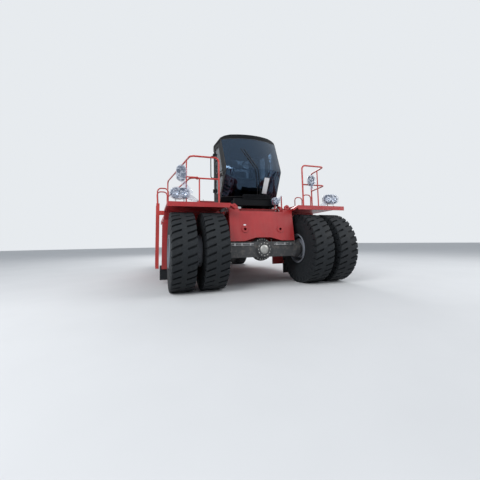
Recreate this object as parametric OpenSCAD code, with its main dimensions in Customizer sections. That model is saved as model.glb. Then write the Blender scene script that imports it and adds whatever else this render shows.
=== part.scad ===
// Container reach stacker chassis with its cab, as it is shipped before the boom is fitted.
// X runs forward, Y to the machine's left and Z up, and the ground is at Z = 0.
// Places along X are counted from the front axle, and from_front() puts them in the frame.

/* [Wheels] */
// Outer radius of every tyre over its tread bars
tyre_r = 810; // [780:5:840]
// Width of a tyre across its side walls
tyre_w = 490; // [450:5:510]
// Width of the tread
tread_w = 459; // [420:3:470]
// Number of grooves on each side of a tread
groove_count = 34; // [26:1:38]
// Depth of the tread grooves
groove_depth = 40; // [25:1:50]
// Radius at which the tyres seat on their rims
rim_r = 318; // [305:1:330]
// Wall of the rim drums
rim_wall = 18; // [12:1:25]
// Distance between the middles of twin tyres
twin_pitch = 626; // [610:2:660]
// Distance between the middles of the two front wheel pairs
front_track = 2980; // [2940:10:3040]
// Distance between the middles of the rear tyres
rear_track = 2760; // [2740:10:2840]

/* [Axles] */
// Distance between the front and the rear axle
wheelbase = 6000; // [5900:50:6400]
// Radius of the front wheel spindles
spindle_r = 140; // [110:5:160]
// Radius of the rear wheel spindles
rear_spindle_r = 90; // [70:5:110]
// Distance from a rear tyre's middle in to its king pin
kingpin_inset = 250; // [240:5:270]
// Radius of the king pins
kingpin_r = 45; // [35:1:55]
// Radial clearance of every bearing and hinge
running_gap = 0.05; // [0.02:0.01:0.08]

/* [Frame] */
// Distance from the middle of the machine to the inner face of a girder
girder_in = 565; // [520:5:600]
// Width of a girder
girder_w = 177; // [150:1:190]
// Height of the girders' top
girder_top = 1680; // [1650:5:1690]
// Height of the girders' underside between the axles
girder_low = 640; // [560:10:760]
// Distance from the rear axle to the back of the counterweight
rear_overhang = 1420; // [1380:10:1600]
// Thickness of the front plate
front_plate_t = 30; // [20:1:40]
// Thickness of a lift cylinder's bracket cheek
cheek_t = 35; // [25:1:45]
// Radius of the lift cylinder pin bores
lift_bore_r = 50; // [35:1:65]
// Height of the lift cylinder pin bores
lift_bore_z = 1700; // [1660:5:1720]

/* [Boom tower] */
// Thickness of a boom tower plate
tower_t = 80; // [50:5:90]
// Distance across the outer faces of the tower plates
tower_w = 1000; // [940:10:1040]
// Height of the boom pivot
boom_pivot_z = 2600; // [2500:10:2700]
// Radius of the boom pivot bores
boom_bore_r = 75; // [55:5:95]

/* [Fenders and decks] */
// Height of the fenders' and side decks' top
deck_top = 1804; // [1790:2:1840]
// Thickness of the deck plates
deck_t = 44; // [30:2:50]
// Distance from the middle of the machine to a fender's outer edge
fender_out = 2100; // [2080:5:2140]
// Distance from the front axle to the fenders' front edge
fender_front = 345; // [300:5:420]
// Radius of the rail tubes
rail_r = 19; // [14:1:24]
// Height of the rails above the deck
rail_h = 990; // [900:10:1080]

/* [Cab] */
// Height of the underside of the cab
cab_bottom = 2000; // [1985:5:2020]
// Height of the cab roof's top
cab_top = 3720; // [3660:10:3800]
// Half the width of the cab at the door's rear edge
cab_half_w = 800; // [760:5:820]
// Thickness of the cab's walls and doors
cab_wall = 55; // [40:1:65]
// Thickness of the windows
glass_t = 8; // [5:1:12]
// Distance from the front axle back to the rear of the cab
cab_rear = 1800; // [1760:10:1860]
// How far the cab can slide back on its rails
cab_travel = 1200; // [800:50:1300]

/* [Engine bay] */
// Width of the engine hood
hood_w = 1700; // [1640:10:1740]
// Height of the engine hood's top
hood_top = 2460; // [2380:10:2500]
// Thickness of the hood's sheet walls
hood_wall = 30; // [20:1:40]

/* [Hidden] */

$fn = 48;
PAINT = "firebrick";
DARK = [0.10, 0.10, 0.11];
RUBBER = [0.13, 0.13, 0.13];
STEEL = [0.55, 0.56, 0.58];
GLASS = [0.65, 0.78, 0.86, 0.45];
LAMP = [0.85, 0.88, 0.92];

// The clearance between pieces that slide on or sit in each other
seat_gap = 0.3;
// The clearance round doors and lids
door_gap = 8;
front_axle_x = (wheelbase + rear_overhang - tyre_r) / 2;
axle_z = tyre_r;
steer_x = -wheelbase;
back_x = -wheelbase - rear_overhang;
girder_out = girder_in + girder_w;
kingpin_y = rear_track / 2 - kingpin_inset;
hub_r = 230;
groove_slant = 20;
groove_stagger = 0.26;

// Boxes, rods and slabs between named limits

module from_front() { translate([front_axle_x, 0, 0]) children(); }

module on_side(side) {
  if (side > 0) children();
  else mirror([0, 1, 0]) children();
}

module both_sides() {
  children();
  mirror([0, 1, 0]) children();
}

module block(x, y, z) {
  translate([x[0], y[0], z[0]]) cube([x[1] - x[0], y[1] - y[0], z[1] - z[0]]);
}

module rod_x(x, y, z, r) { translate([x[0], y, z]) rotate([0, 90, 0]) cylinder(r = r, h = x[1] - x[0]); }
module rod_y(x, y, z, r) { translate([x, y[1], z]) rotate([90, 0, 0]) cylinder(r = r, h = y[1] - y[0]); }
module rod_z(x, y, z, r) { translate([x, y, z[0]]) cylinder(r = r, h = z[1] - z[0]); }

// A flat outline in X and Z, made thick from y[0] to y[1]
module plate_y(y) { translate([0, y[1], 0]) rotate([90, 0, 0]) linear_extrude(y[1] - y[0]) children(); }

// A flat outline in Y and Z, made thick from x[0] to x[1]
module plate_x(x) { translate([x[0], 0, 0]) rotate([90, 0, 90]) linear_extrude(x[1] - x[0]) children(); }

module plate_z(z) { translate([0, 0, z[0]]) linear_extrude(z[1] - z[0]) children(); }

// An outline with its corners cut by arcs of radius r
function round_rect(a, b, r, n = 4) = [
  for (c = [[b[0] - r, b[1] - r, 0], [a[0] + r, b[1] - r, 90], [a[0] + r, a[1] + r, 180],
            [b[0] - r, a[1] + r, 270]])
    for (i = [0:n]) [c[0] + r * cos(c[2] + 90 * i / n), c[1] + r * sin(c[2] + 90 * i / n)]
];

function unit(v) = v / norm(v);

// A round tube through points. Each bend takes reach off both of its runs, and its sleeve is a little wider
module tube(points, r, reach) {
  last = len(points) - 1;
  sleeve = 0.4;
  way = [for (i = [0:last - 1]) unit(points[i + 1] - points[i])];
  turn = [for (i = [0:last]) i == 0 || i == last ? 0 : acos(way[i - 1] * way[i])];
  bend = [for (a = turn) a == 0 ? 0 : reach / tan(a / 2)];
  cut = [for (b = bend) b == 0 ? 0 : reach - 0.9 * sqrt(b * sleeve)];
  for (i = [0:last - 1]) {
    length = norm(points[i + 1] - points[i]) - cut[i] - cut[i + 1];
    translate(points[i] + way[i] * cut[i])
      rotate([0, acos(way[i][2]), atan2(way[i][1], way[i][0])]) cylinder(r = r, h = length, $fn = 24);
  }
  for (i = [1:1:last - 1]) {
    normal = unit(cross(way[i - 1], way[i]));
    inward = cross(normal, way[i - 1]);
    centre = points[i] - way[i - 1] * reach + inward * bend[i];
    multmatrix([for (k = [0:2]) [-inward[k], way[i - 1][k], normal[k], centre[k]]])
      rotate_extrude(angle = turn[i], $fn = 96) translate([bend[i], 0]) circle(r = r + sleeve, $fn = 24);
  }
}

// Frame

lift_x = -120;
cheek_r = 130;
cheek_foot_z = 1200;
plate_foot_z = 1000;
plate_foot_x = 190;
plate_lean = 7;
ear_out = girder_out + cheek_t;
front_box_x = [-300, -60];
front_box_top = 1480;
cover_z = 1745;
cover_half = 500;
engine_half = 430;
rear_girder = [tower_w / 2 - 200, tower_w / 2];
rear_girder_low = 1080;
rear_frame_end = steer_x - 950;
joint_x = steer_x + 1100;
tower_x = steer_x + 100;
under_deck = deck_top - deck_t;
hood_x = [steer_x + 950, steer_x + 2550];
tank_x = [steer_x + 1380, steer_x + 4000];
tank_y = [858, 1960];
tank_z = [560, 1630];
cross_x = [-1300, -1100];
shaft_z = axle_z;
shaft_hole_r = 110;
trunnion_r = 60;

// The back of the leaning front plate at height z
function plate_back(z) =
  plate_foot_x - (z - plate_foot_z) * tan(plate_lean) - front_plate_t / cos(plate_lean) - seat_gap;

module front_girder() {
  plate_y([girder_in, girder_out]) polygon([
    [plate_back(plate_foot_z), plate_foot_z], [-420, plate_foot_z], [-900, girder_low],
    [joint_x + 50, girder_low], [joint_x - 150, girder_low + 160], [joint_x - 150, girder_top],
    [-520, girder_top], [-430, 1500], [plate_back(1500), 1500]]);
}

module main_frame() {
  color(PAINT) from_front() {
    both_sides() {
      front_girder();
      for (x = [joint_x + 340, joint_x + 1140]) {
        block([x, x + 120], [engine_half, girder_in + 1], [1150, 1290]);
      }
    }
    block([joint_x - 150, joint_x + 150], [-girder_in - 1, girder_in + 1], [800, girder_top]);
    block(front_box_x, [-girder_in - 1, girder_in + 1], [1100, cheek_foot_z]);
    block(front_box_x, [cheek_t - girder_in, girder_in - cheek_t], [cheek_foot_z - 1, front_box_top]);
    difference() {
      block(cross_x, [-girder_in - 1, girder_in + 1], [girder_low + 10, 1100]);
      rod_x([cross_x[0] - 1, cross_x[1] + 1], 0, shaft_z, shaft_hole_r);
    }
    block([lift_x - 12, lift_x + 12], [60 - cover_half, cover_half - 60], [front_box_top - 1, cover_z - 19]);
    block([lift_x - 50, lift_x + 30], [-cover_half, cover_half], [cover_z - 20, cover_z]);
  }
}

// The narrower frame over the steering axle, which hangs in the holes of its two cross plates
module rear_frame() {
  web_t = 80;
  color(PAINT) from_front() {
    both_sides() block([rear_frame_end, joint_x - 150], rear_girder, [rear_girder_low, girder_top]);
    block([rear_frame_end, rear_frame_end + 50], [-rear_girder[1], rear_girder[1]],
      [rear_girder_low, girder_top]);
    for (x = [steer_x + 400, steer_x - 400 - web_t]) difference() {
      block([x, x + web_t], [-rear_girder[0] - 1, rear_girder[0] + 1], [axle_z - 110, girder_top]);
      rod_x([x - 1, x + web_t + 1], 0, axle_z, trunnion_r + running_gap);
    }
    block([tower_x + 640, tower_x + 700], [tower_t - tower_w / 2, tower_w / 2 - tower_t],
      [girder_top - 1, 1990]);
  }
}

// Four plates on the girders' faces, in pairs that hold the lift cylinders' pins
module lift_cheeks() {
  outline = [[lift_x - 210, cheek_foot_z], [lift_x + 220, cheek_foot_z], [lift_x + 180, lift_bore_z - 140],
    [lift_x + cheek_r, lift_bore_z], [lift_x - cheek_r, lift_bore_z], [lift_x - 210, lift_bore_z - 140]];
  color(PAINT) from_front() both_sides() for (y = [girder_in - cheek_t, girder_out]) {
    plate_y([y, y + cheek_t]) difference() {
      union() {
        polygon(outline);
        translate([lift_x, lift_bore_z]) circle(r = cheek_r);
      }
      translate([lift_x, lift_bore_z]) circle(r = lift_bore_r);
    }
  }
}

// The brackets on the girders' sides that carry the fenders, the side decks and the tanks
module side_brackets() {
  arm_h = 60;
  root_z = 1560;
  knee_z = tank_z[1] + 20;
  arm_x = [-950, -1560, (joint_x - 1560) / 2, joint_x + 120];
  color(PAINT) from_front() both_sides() {
    for (i = [0:3]) {
      plate_x([arm_x[i], arm_x[i] + 80]) polygon([[girder_out, i == 0 ? root_z + 90 : root_z],
        [tank_y[0] - 8, knee_z + 20], [fender_out - 100, under_deck - arm_h], [fender_out - 100, under_deck],
        [girder_out, under_deck]]);
    }
    for (x = [tank_x[0] + 370, tank_x[1] - 450]) block([x, x + 100], [girder_out, tank_y[0]], [1150, 1400]);
    for (x = [steer_x + 640, steer_x - 760]) {
      block([x, x + 80], [rear_girder[1], 1600], [girder_top - 30, girder_top + 40]);
    }
  }
}

// The plate between the front wheels, with its ears and the arch over the axle

lash_y = 430;
lash_z = 1262;
lash_bore_r = 32;

module front_plate() {
  top = girder_top - plate_foot_z - 10;
  ear = top + 60;
  outline = [[-ear_out, 0], [-450, 0], [-180, 75], [180, 75], [450, 0], [ear_out, 0],
    [ear_out, ear], [girder_in - 12, ear], [girder_in - 40, top], [-girder_in + 40, top],
    [-girder_in + 12, ear], [-ear_out, ear]];
  color(PAINT) from_front() translate([plate_foot_x, 0, plate_foot_z]) rotate([0, -plate_lean, 0])
    difference() {
      union() {
        plate_x([-front_plate_t, 0]) polygon(outline);
        for (side = [-1, 1]) rod_x([0, 18], side * lash_y, lash_z - plate_foot_z, 75);
      }
      for (side = [-1, 1]) {
        rod_x([-front_plate_t - 1, 19], side * lash_y, lash_z - plate_foot_z, lash_bore_r);
      }
    }
}

// The two plates that carry the boom's rear pivot

module boom_tower() {
  outline = [[tower_x - 830, girder_top], [tower_x + 850, girder_top], [tower_x + 760, girder_top + 370],
    [tower_x + 185, boom_pivot_z + 60], [tower_x - 185, boom_pivot_z + 60],
    [tower_x - 760, girder_top + 280]];
  color(PAINT) from_front() {
    both_sides() plate_y([tower_w / 2 - tower_t, tower_w / 2]) difference() {
      union() {
        polygon(outline);
        translate([tower_x, boom_pivot_z]) circle(r = 200);
      }
      translate([tower_x, boom_pivot_z]) circle(r = boom_bore_r);
      translate([tower_x, girder_top + 350]) circle(r = 150);
    }
  }
}

// Axles

shaft_x = [steer_x + 2850, -420];
// The twin wheels' hubs reach this far in from the middle of their pair
hub_reach = 480;
brake_y = front_track / 2 - hub_reach - 85;
axle_half = brake_y - 125;

module drive_axle() {
  color(DARK) from_front() {
    both_sides() {
      block([-170, 170], [-1, axle_half], [axle_z - 170, axle_z + 170]);
      block([-230, 150], [girder_in, girder_out], [axle_z + 100, plate_foot_z]);
      rod_y(0, [axle_half, brake_y], axle_z, 205);
      rod_y(0, [brake_y, front_track / 2 + 280], axle_z, spindle_r);
    }
    intersection() {
      rotate([0, 90, 0]) translate([-axle_z, 0, -420]) cylinder(r1 = 120, r2 = 265, h = 420, $fn = 48);
      block([-420, 0], [-265, 265], [axle_z - 265, axle_z + 250]);
    }
    rod_x([0, 90], 0, axle_z, 245);
    rod_x([90, 210], 0, axle_z, 170);
  }
}

// The shaft from the gearbox to the drive axle, with a joint at each end
module drive_shaft() {
  color(DARK) from_front() {
    rod_x([shaft_x[0] + 160, shaft_x[1] - 160], 0, shaft_z, 55);
    for (end = [[shaft_x[0], 1], [shaft_x[1], -1]]) {
      x = end[0];
      way = end[1];
      rod_x([min(x, x + way * 30), max(x, x + way * 30)], 0, shaft_z, 95);
      rod_x([min(x, x + way * 170), max(x, x + way * 170)], 0, shaft_z, 45);
      rod_y(x + way * 85, [-78, 78], shaft_z, 34);
      rod_z(x + way * 85, 0, [shaft_z - 78, shaft_z + 78], 30);
    }
  }
}

ram_half = 430;
ram_rod_r = 30;
ram_z = 140;
arm_x = -270;
arm_y = 180;

module steer_axle() {
  beam = 200;
  ear_t = 90;
  color(DARK) from_front() translate([steer_x, 0, axle_z]) {
    block([-beam, beam], [-560, 560], [-beam, beam]);
    both_sides() {
      for (z = [[130, 130 + ear_t], [-130 - ear_t, -130]]) {
        block([-beam / 2, beam / 2], [500, kingpin_y], z);
        rod_z(0, kingpin_y, z, 106);
      }
      rod_z(0, kingpin_y, [-210, 210], kingpin_r);
    }
    rod_x([beam, 480], 0, 0, trunnion_r);
    rod_x([-480, -beam], 0, 0, trunnion_r);
    difference() {
      union() {
        rod_y(arm_x, [-ram_half, ram_half], ram_z, 68);
        both_sides() block([arm_x + 20, -beam + 10], [180, 260], [ram_z - 50, ram_z + 50]);
      }
      rod_y(arm_x, [-ram_half - 1, ram_half + 1], ram_z, ram_rod_r + running_gap);
    }
  }
}

// The double rod of the steering cylinder, with an eye at each end
module steer_ram() {
  reach = kingpin_y - arm_y;
  color(STEEL) from_front() translate([steer_x + arm_x, 0, axle_z + ram_z]) {
    rod_y(0, [-reach + 30, reach - 30], 0, ram_rod_r);
    both_sides() difference() {
      rod_z(0, reach, [-30, 30], 52);
      rod_z(0, reach, [-31, 31], 22);
    }
  }
}

module knuckle(side) {
  color(DARK) from_front() on_side(side) translate([steer_x, kingpin_y, axle_z]) difference() {
    union() {
      rod_z(0, 0, [-128, 128], 105);
      block([-105, 105], [0, 120], [-120, 120]);
      rod_y(0, [119, 135], 0, 140);
      rod_y(0, [134, kingpin_inset + 150], 0, rear_spindle_r);
      difference() {
        plate_z([ram_z - 104, ram_z - 36])
          polygon([[-60, 60], [-60, -60], [arm_x - 30, -arm_y - 40], [arm_x - 30, -arm_y + 50], [-100, 80]]);
        rod_z(arm_x, -arm_y, [ram_z - 105, ram_z - 35], 22);
      }
    }
    rod_z(0, 0, [-129, 129], kingpin_r + running_gap);
  }
}

// Wheels. Each is drawn round its own axis, with Y outward from its tyre's middle

module spun_y() { rotate([90, 0, 0]) rotate_extrude($fn = 96) children(); }

module tyre_profile() {
  half = tyre_w / 2;
  polygon([[rim_r + 0.3, -195], [rim_r + 0.3, 195], [345, 222], [430, half - 4], [560, half],
    [700, half - 8], [tyre_r - 34, tread_w / 2], [tyre_r - 6, tread_w / 2 - 4], [tyre_r, tread_w / 2 - 24],
    [tyre_r, 24 - tread_w / 2], [tyre_r - 6, 4 - tread_w / 2], [tyre_r - 34, -tread_w / 2],
    [700, 8 - half], [560, -half], [430, 4 - half], [345, -222]]);
}

// A groove that runs in from the shoulder at Y above 0, cut wherever the loop below places it
module groove() {
  width = 44;
  reach = 0.41 * tread_w;
  shoulder = tread_w / 2;
  floor_r = tyre_r - groove_depth;
  translate([0, shoulder - reach / 2, 0]) rotate([groove_slant, 0, 0]) translate([0, reach / 2 - shoulder, 0])
    plate_z([-width / 2, width / 2]) polygon([[tyre_r + 20, shoulder - reach], [floor_r, shoulder - reach],
      [floor_r, shoulder - 50], [floor_r - 65, shoulder + 40], [tyre_r + 20, shoulder + 40]]);
}

// The pattern is the same after half a turn about a line out from the hub, so the other side isn't mirrored
module tyre() {
  pitch = 360 / groove_count;
  difference() {
    spun_y() tyre_profile();
    for (i = [0:groove_count - 1]) {
      rotate([0, -i * pitch, 0]) groove();
      rotate([0, -(i + groove_stagger) * pitch, 0]) rotate([180, 0, 0]) groove();
    }
  }
}

// Each profile's second axis is turned about, so outward is counted as negative there

// The drum that a tyre sits on round y, with a flange at each edge
module drum_profile(y) {
  inner_r = rim_r - rim_wall;
  flange_r = rim_r + 26;
  polygon([[inner_r, y - 225], [flange_r, y - 245], [flange_r, y - 228], [rim_r, y - 205],
    [rim_r, y + 205], [flange_r, y + 228], [flange_r, y + 245], [inner_r, y + 225]]);
}

module twin_rims() {
  reach = twin_pitch / 2;
  inner_r = rim_r - rim_wall;
  bore_r = spindle_r + running_gap;
  spun_y() {
    for (y = [-reach, reach]) drum_profile(y);
    polygon([[inner_r, 224 - reach], [rim_r, 204 - reach], [rim_r, reach - 204], [inner_r, reach - 224]]);
    polygon([[bore_r, -290], [hub_r, -290], [hub_r, -150], [inner_r + 4, -110], [inner_r + 4, -80],
      [hub_r + 10, -80], [hub_r, 30], [hub_r, hub_reach], [bore_r, hub_reach]]);
    polygon([[0, -286], [215, -286], [215, -440], [170, -470], [0, -470]]);
  }
}

module single_rim() {
  inner_r = rim_r - rim_wall;
  bore_r = rear_spindle_r + running_gap;
  spun_y() {
    drum_profile(0);
    polygon([[bore_r, -160], [170, -160], [170, -120], [inner_r + 4, -150], [inner_r + 4, -115],
      [190, -70], [170, 90], [bore_r, 90]]);
    polygon([[0, -156], [130, -156], [130, -200], [0, -200]]);
  }
}

module front_rims(side) {
  color("gainsboro") from_front() on_side(side) translate([0, front_track / 2, axle_z]) twin_rims();
}

module rear_rim(side) {
  color("gainsboro") from_front() on_side(side) translate([steer_x, rear_track / 2, axle_z]) single_rim();
}

module front_tyres(side) {
  color(RUBBER) from_front() for (y = [-twin_pitch / 2, twin_pitch / 2]) {
    translate([0, side * front_track / 2 + y, axle_z]) tyre();
  }
}

module rear_tyre(side) {
  color(RUBBER) from_front() translate([steer_x, side * rear_track / 2, axle_z]) tyre();
}

// Fenders, flaps, decks, rails and ladders

fender_in = 820;
fender_rear = -980;
fender_drop_x = -1140;
fender_foot = 360;
deck_back = joint_x + 50;

module fenders() {
  under = under_deck;
  color(PAINT) from_front() both_sides() {
    plate_y([fender_in, fender_out]) polygon([[fender_front, deck_top], [fender_rear, deck_top],
      [fender_drop_x, deck_top - 230], [fender_drop_x, fender_foot], [fender_drop_x + 36, fender_foot],
      [fender_drop_x + 36, deck_top - 240], [fender_rear + 20, under], [fender_front - 40, under],
      [fender_front - 40, deck_top - 95], [fender_front, deck_top - 95]]);
    block([fender_drop_x, fender_drop_x + 36], [fender_out, fender_out + 35], [fender_foot, 1500]);
    plate_x([fender_front - 120, fender_front]) polygon([[fender_in, deck_top], [fender_in, under],
      [700, deck_top - 124], [672, deck_top - 84]]);
  }
}

module mud_flaps() {
  color(RUBBER) from_front() both_sides()
    block([fender_drop_x - 12, fender_drop_x], [1150, fender_out + 78], [100, 450]);
}

module side_decks() {
  color(PAINT) from_front() {
    both_sides() {
      block([deck_back, fender_drop_x], [girder_out, fender_out - 50], [under_deck, deck_top]);
      block([deck_back, fender_drop_x], [fender_out - 90, fender_out - 50], [deck_top - 110, deck_top]);
      block([rear_frame_end, deck_back - 1], [rear_girder[1], 1660], [girder_top + 40, girder_top + 70]);
    }
    block([hood_x[1] + 50, -540], [-girder_out, girder_out], [girder_top, girder_top + 40]);
  }
}

rail_front = 232;
rail_in = 1030;
rail_out = 1640;
rail_mid = deck_top + 520;
rail_bend = 95;

module railings() {
  top = deck_top + rail_h;
  color(PAINT) from_front() for (side = [-1, 1]) {
    front = [rail_front, rail_out];
    back = side > 0 ? [-460, 1740] : [-2250, 1950];
    side_post = front + (back - front) * (side > 0 ? 0.48 : 0.13);
    on_side(side) {
      tube([[rail_front, rail_in, deck_top], [rail_front, rail_in, top], [front[0], front[1], top],
        [back[0], back[1], top], [back[0], back[1], deck_top]], rail_r, rail_bend);
      tube([[rail_front, rail_in, rail_mid], [front[0], front[1], rail_mid], [back[0], back[1], rail_mid]],
        rail_r - 2, rail_bend);
      for (post = [[rail_front, rail_out - 190, rail_mid], [side_post[0], side_post[1], top]]) {
        rod_z(post[0], post[1], [deck_top, post[2]], rail_r - 4);
      }
      for (foot = [[rail_front, rail_in], [rail_front, rail_out - 190], side_post, back]) {
        rod_z(foot[0], foot[1], [deck_top, deck_top + 8], 2.2 * rail_r);
      }
    }
  }
}

ladder_x = [-1780, -1290];
ladder_y = [fender_out + 100, fender_out + 180];
step_z = [420, 840, 1170, 1440, 1760];

module ladders() {
  color(PAINT) from_front() both_sides() {
    for (x = ladder_x) {
      block([x, x + 14], ladder_y, [360, 1990]);
      block([x, x + 14], [fender_out - 50, ladder_y[0] + 1], [deck_top - 60, deck_top]);
    }
    for (z = step_z) block([ladder_x[0] + 14, ladder_x[1]], [ladder_y[0] + 5, ladder_y[1]], [z - 20, z]);
    for (x = ladder_x) {
      tube([[x + 7, ladder_y[0] + 40, 1980], [x + 7, ladder_y[0] + 60, 2380],
        [x + 7, fender_out - 110, 2380], [x + 7, fender_out - 110, deck_top]], 16, 100);
    }
  }
}

// Lamps and mirrors

work_lamp_y = 445;
lamp_y = 1845;

// A housing with round ends and two lamps in it, on two stalks, seen from the front
module headlamp_pair() {
  middle_z = deck_top + 195;
  rise = 108;
  half = 185;
  rim = 13;
  difference() {
    plate_x([140, 205]) polygon(round_rect([lamp_y - half, middle_z - rise], [lamp_y + half, middle_z + rise],
      rise - 2, 8));
    plate_x([165, 206]) polygon(round_rect([lamp_y - half + rim, middle_z - rise + rim],
      [lamp_y + half - rim, middle_z + rise - rim], rise - rim - 2, 8));
  }
  for (y = [lamp_y - 85, lamp_y + 85]) {
    translate([164, y, middle_z]) rotate([0, 90, 0]) rotate_extrude()
      polygon([[0, 0], [52, 0], [74, 24], [76, 40], [60, 50], [0, 58]]);
    rod_z(172, y, [deck_top, middle_z - rise + 30], 12);
  }
}

module lamps() {
  color(LAMP) from_front() {
    both_sides() {
      headlamp_pair();
      plate_z([1950, 1995]) polygon(round_rect([back_x + 60, 1180], [back_x + 130, 1340], 20));
    }
    translate([-110, work_lamp_y, cover_z + 210]) {
      rotate([0, 90, 0]) rotate_extrude() polygon([[0, 0], [38, 0], [66, 30], [70, 70], [60, 84], [0, 92]]);
      block([0, 16], [-22, 22], [-200, -40]);
    }
    block([-150, -94], [work_lamp_y - 50, work_lamp_y + 50], [cover_z, cover_z + 14]);
  }
}

module mirrors() {
  color(DARK) from_front() {
    // Each row is a mirror's Y and Z, half its width and height, and its arm's Y
    for (row = [[-1830, 2400, 90, 150, -1500], [1240, 2420, 80, 110, 1240]]) {
      plate_x([rail_front + 40, rail_front + 84])
        polygon(round_rect([row[0] - row[2], row[1] - row[3]], [row[0] + row[2], row[1] + row[3]], 62, 6));
      rod_x([rail_front + rail_r - 2 + seat_gap, rail_front + 66], row[4], rail_mid, 12);
    }
    rod_y(rail_front + 60, [-1760, -1486], rail_mid, 14);
  }
}

// Cab and what carries it

rail_y = [400, 480];
carriage_x = [20 - cab_rear, -200];

module slide_rails() {
  color(DARK) from_front() both_sides()
    block([-cab_rear - cab_travel - 300, -180], rail_y, [girder_top + 40, deck_top]);
}

module cab_carriage() {
  color(DARK) from_front() {
    both_sides() {
      block(carriage_x, [rail_y[0] - 60, rail_y[1] + 40], [deck_top + seat_gap, cab_bottom]);
      block([carriage_x[0], carriage_x[1] - 60], [rail_y[1] + seat_gap, rail_y[1] + 40],
        [deck_top - 30, deck_top + 10]);
    }
    block([-240, -160], [-570, 570], [lift_bore_z + cheek_r + 8, cab_bottom]);
    block([carriage_x[0], carriage_x[0] + 80], [-570, 570], [deck_top + seat_gap, cab_bottom]);
    difference() {
      block([-240, -130], [-340, 340], [cab_bottom - 1, cab_bottom + 100]);
      for (z = [18, 44, 70]) block([-150, -129], [-320, 320], [cab_bottom + z, cab_bottom + z + 14]);
    }
  }
}

belt_z = 2720;
belt_x = -60;
bulge_r = 1500;
upper_lean = 23;
lower_lean = 31;

// The cab's outer form, or its inside when inset is the wall
module cab_form(inset) {
  plan = [[300, cab_half_w - 125 - inset], [-1200, cab_half_w - inset],
    [-cab_rear + 180 + inset * 0.5, cab_half_w - 90 - inset], [-cab_rear + inset, 520 - inset * 0.5]];
  intersection() {
    translate([0, 0, cab_bottom + inset])
      linear_extrude(cab_top - cab_bottom - 2 * inset)
        polygon(concat(plan, [for (i = [len(plan) - 1:-1:0]) [plan[i][0], -plan[i][1]]]));
    translate([belt_x, 0, belt_z]) rotate([0, -upper_lean, 0]) translate([-bulge_r, 0, -2500])
      cylinder(r = bulge_r - inset, h = 5000, $fn = 720);
    translate([belt_x, 0, belt_z]) rotate([0, lower_lean, 0]) translate([-bulge_r, 0, -2500])
      cylinder(r = bulge_r - inset, h = 5000, $fn = 720);
  }
}

// The place along X of the cab's front at y and z, off in front of its surface
function front_x(y, z, off) = let(
  bulge = sqrt(pow(bulge_r + off, 2) - y * y) - bulge_r,
  up = z - belt_z,
  upper = (bulge - up * sin(upper_lean)) / cos(upper_lean),
  lower = (bulge + up * sin(lower_lean)) / cos(lower_lean)
) belt_x + min(upper, lower);

roof_z = cab_top - 130;
floor_z = cab_bottom + cab_wall;
screen_y = 600;
screen_z = [cab_bottom + 190, roof_z - 40];
window_z = [belt_z + 40, roof_z - 130];
low_window_z = [cab_bottom + 230, belt_z - 80];
door_x = [-1180, -400];
door_z = [cab_bottom + 110, roof_z - 30];
knee_z = belt_z - 220;
pillar_lean = 21.2;
sill_lean = 29;
window_inset = [80, 110];
hinge_y = cab_half_w + 22;
hinge_r = 9;
hinge_z = [cab_bottom + 350, window_z[1] - 130];
door_lip = 14;
door_rebate = 40;
handle_x = -1245;
handle_y = cab_half_w + 80;

// How far a door's front edge lies back at a height, and its place along X there
function edge_lean(z) = z > belt_z ? (z - belt_z) * tan(pillar_lean) : max(knee_z - z, 0) * tan(sill_lean);
function door_edge(z) = door_x[1] - edge_lean(z);
function window_edge(z) = [door_edge(z) - window_inset[1], z];

window_rear = door_x[0] + window_inset[0];
door_window = [[window_rear, window_z[0]], window_edge(window_z[0]), window_edge(window_z[1]),
  [window_rear, window_z[1]]];
door_low_window = [[window_rear, low_window_z[0]], window_edge(low_window_z[0]), window_edge(knee_z),
  window_edge(low_window_z[1]), [window_rear, low_window_z[1]]];

// The door's outline, drawn in by gap, through the side wall and a little deeper
module door_zone(gap) {
  front = [for (z = [door_z[0] + gap, knee_z, belt_z, door_z[1] - gap]) [door_edge(z) - gap, z]];
  inner_y = cab_half_w - cab_wall - 5 + gap;
  intersection() {
    plate_y([500, 1000])
      polygon(concat([[door_x[0] + gap, door_z[0] + gap]], front, [[door_x[0] + gap, door_z[1] - gap]]));
    plate_z([cab_bottom, cab_top])
      polygon([[300, inner_y - 125], [-1200, inner_y], [-1200, 1000], [300, 1000]]);
  }
}

module screen_zone(gap) {
  block([-900, 200], [-screen_y + gap, screen_y - gap], [screen_z[0] + gap, screen_z[1] - gap]);
}

module rear_window_zone(gap) {
  block([-cab_rear - 50, -cab_rear + 100], [-430 + gap, 430 - gap], [window_z[0] + gap, window_z[1] - gap]);
}

module quarter_zone(gap) {
  both_sides() block([240 - cab_rear + gap, handle_x - 15 - gap], [500, 900],
    [window_z[0] + gap, window_z[1] - gap]);
}

module cab_shell() {
  color(DARK) from_front() {
    difference() {
      intersection() {
        cab_form(0);
        block([-3000, 500], [-1000, 1000], [cab_bottom, roof_z]);
      }
      cab_form(cab_wall);
      both_sides() door_zone(0);
      screen_zone(0);
      rear_window_zone(0);
      quarter_zone(0);
    }
    both_sides() tube([[handle_x, cab_half_w - 30, belt_z], [handle_x, handle_y, belt_z],
      [handle_x, handle_y, hinge_z[1]], [handle_x, cab_half_w - 30, hinge_z[1]]], 13, 45);
    both_sides() for (z = hinge_z) {
      rod_z(door_x[0], hinge_y, [z - 45, z + 45], hinge_r);
      for (step = [-45, 30]) {
        block([door_x[0] - 40, door_x[0] - 2], [cab_half_w - 20, hinge_y + 8], [z + step, z + step + 15]);
        rod_z(door_x[0], hinge_y, [z + step, z + step + 15], 14);
      }
    }
  }
}

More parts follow.
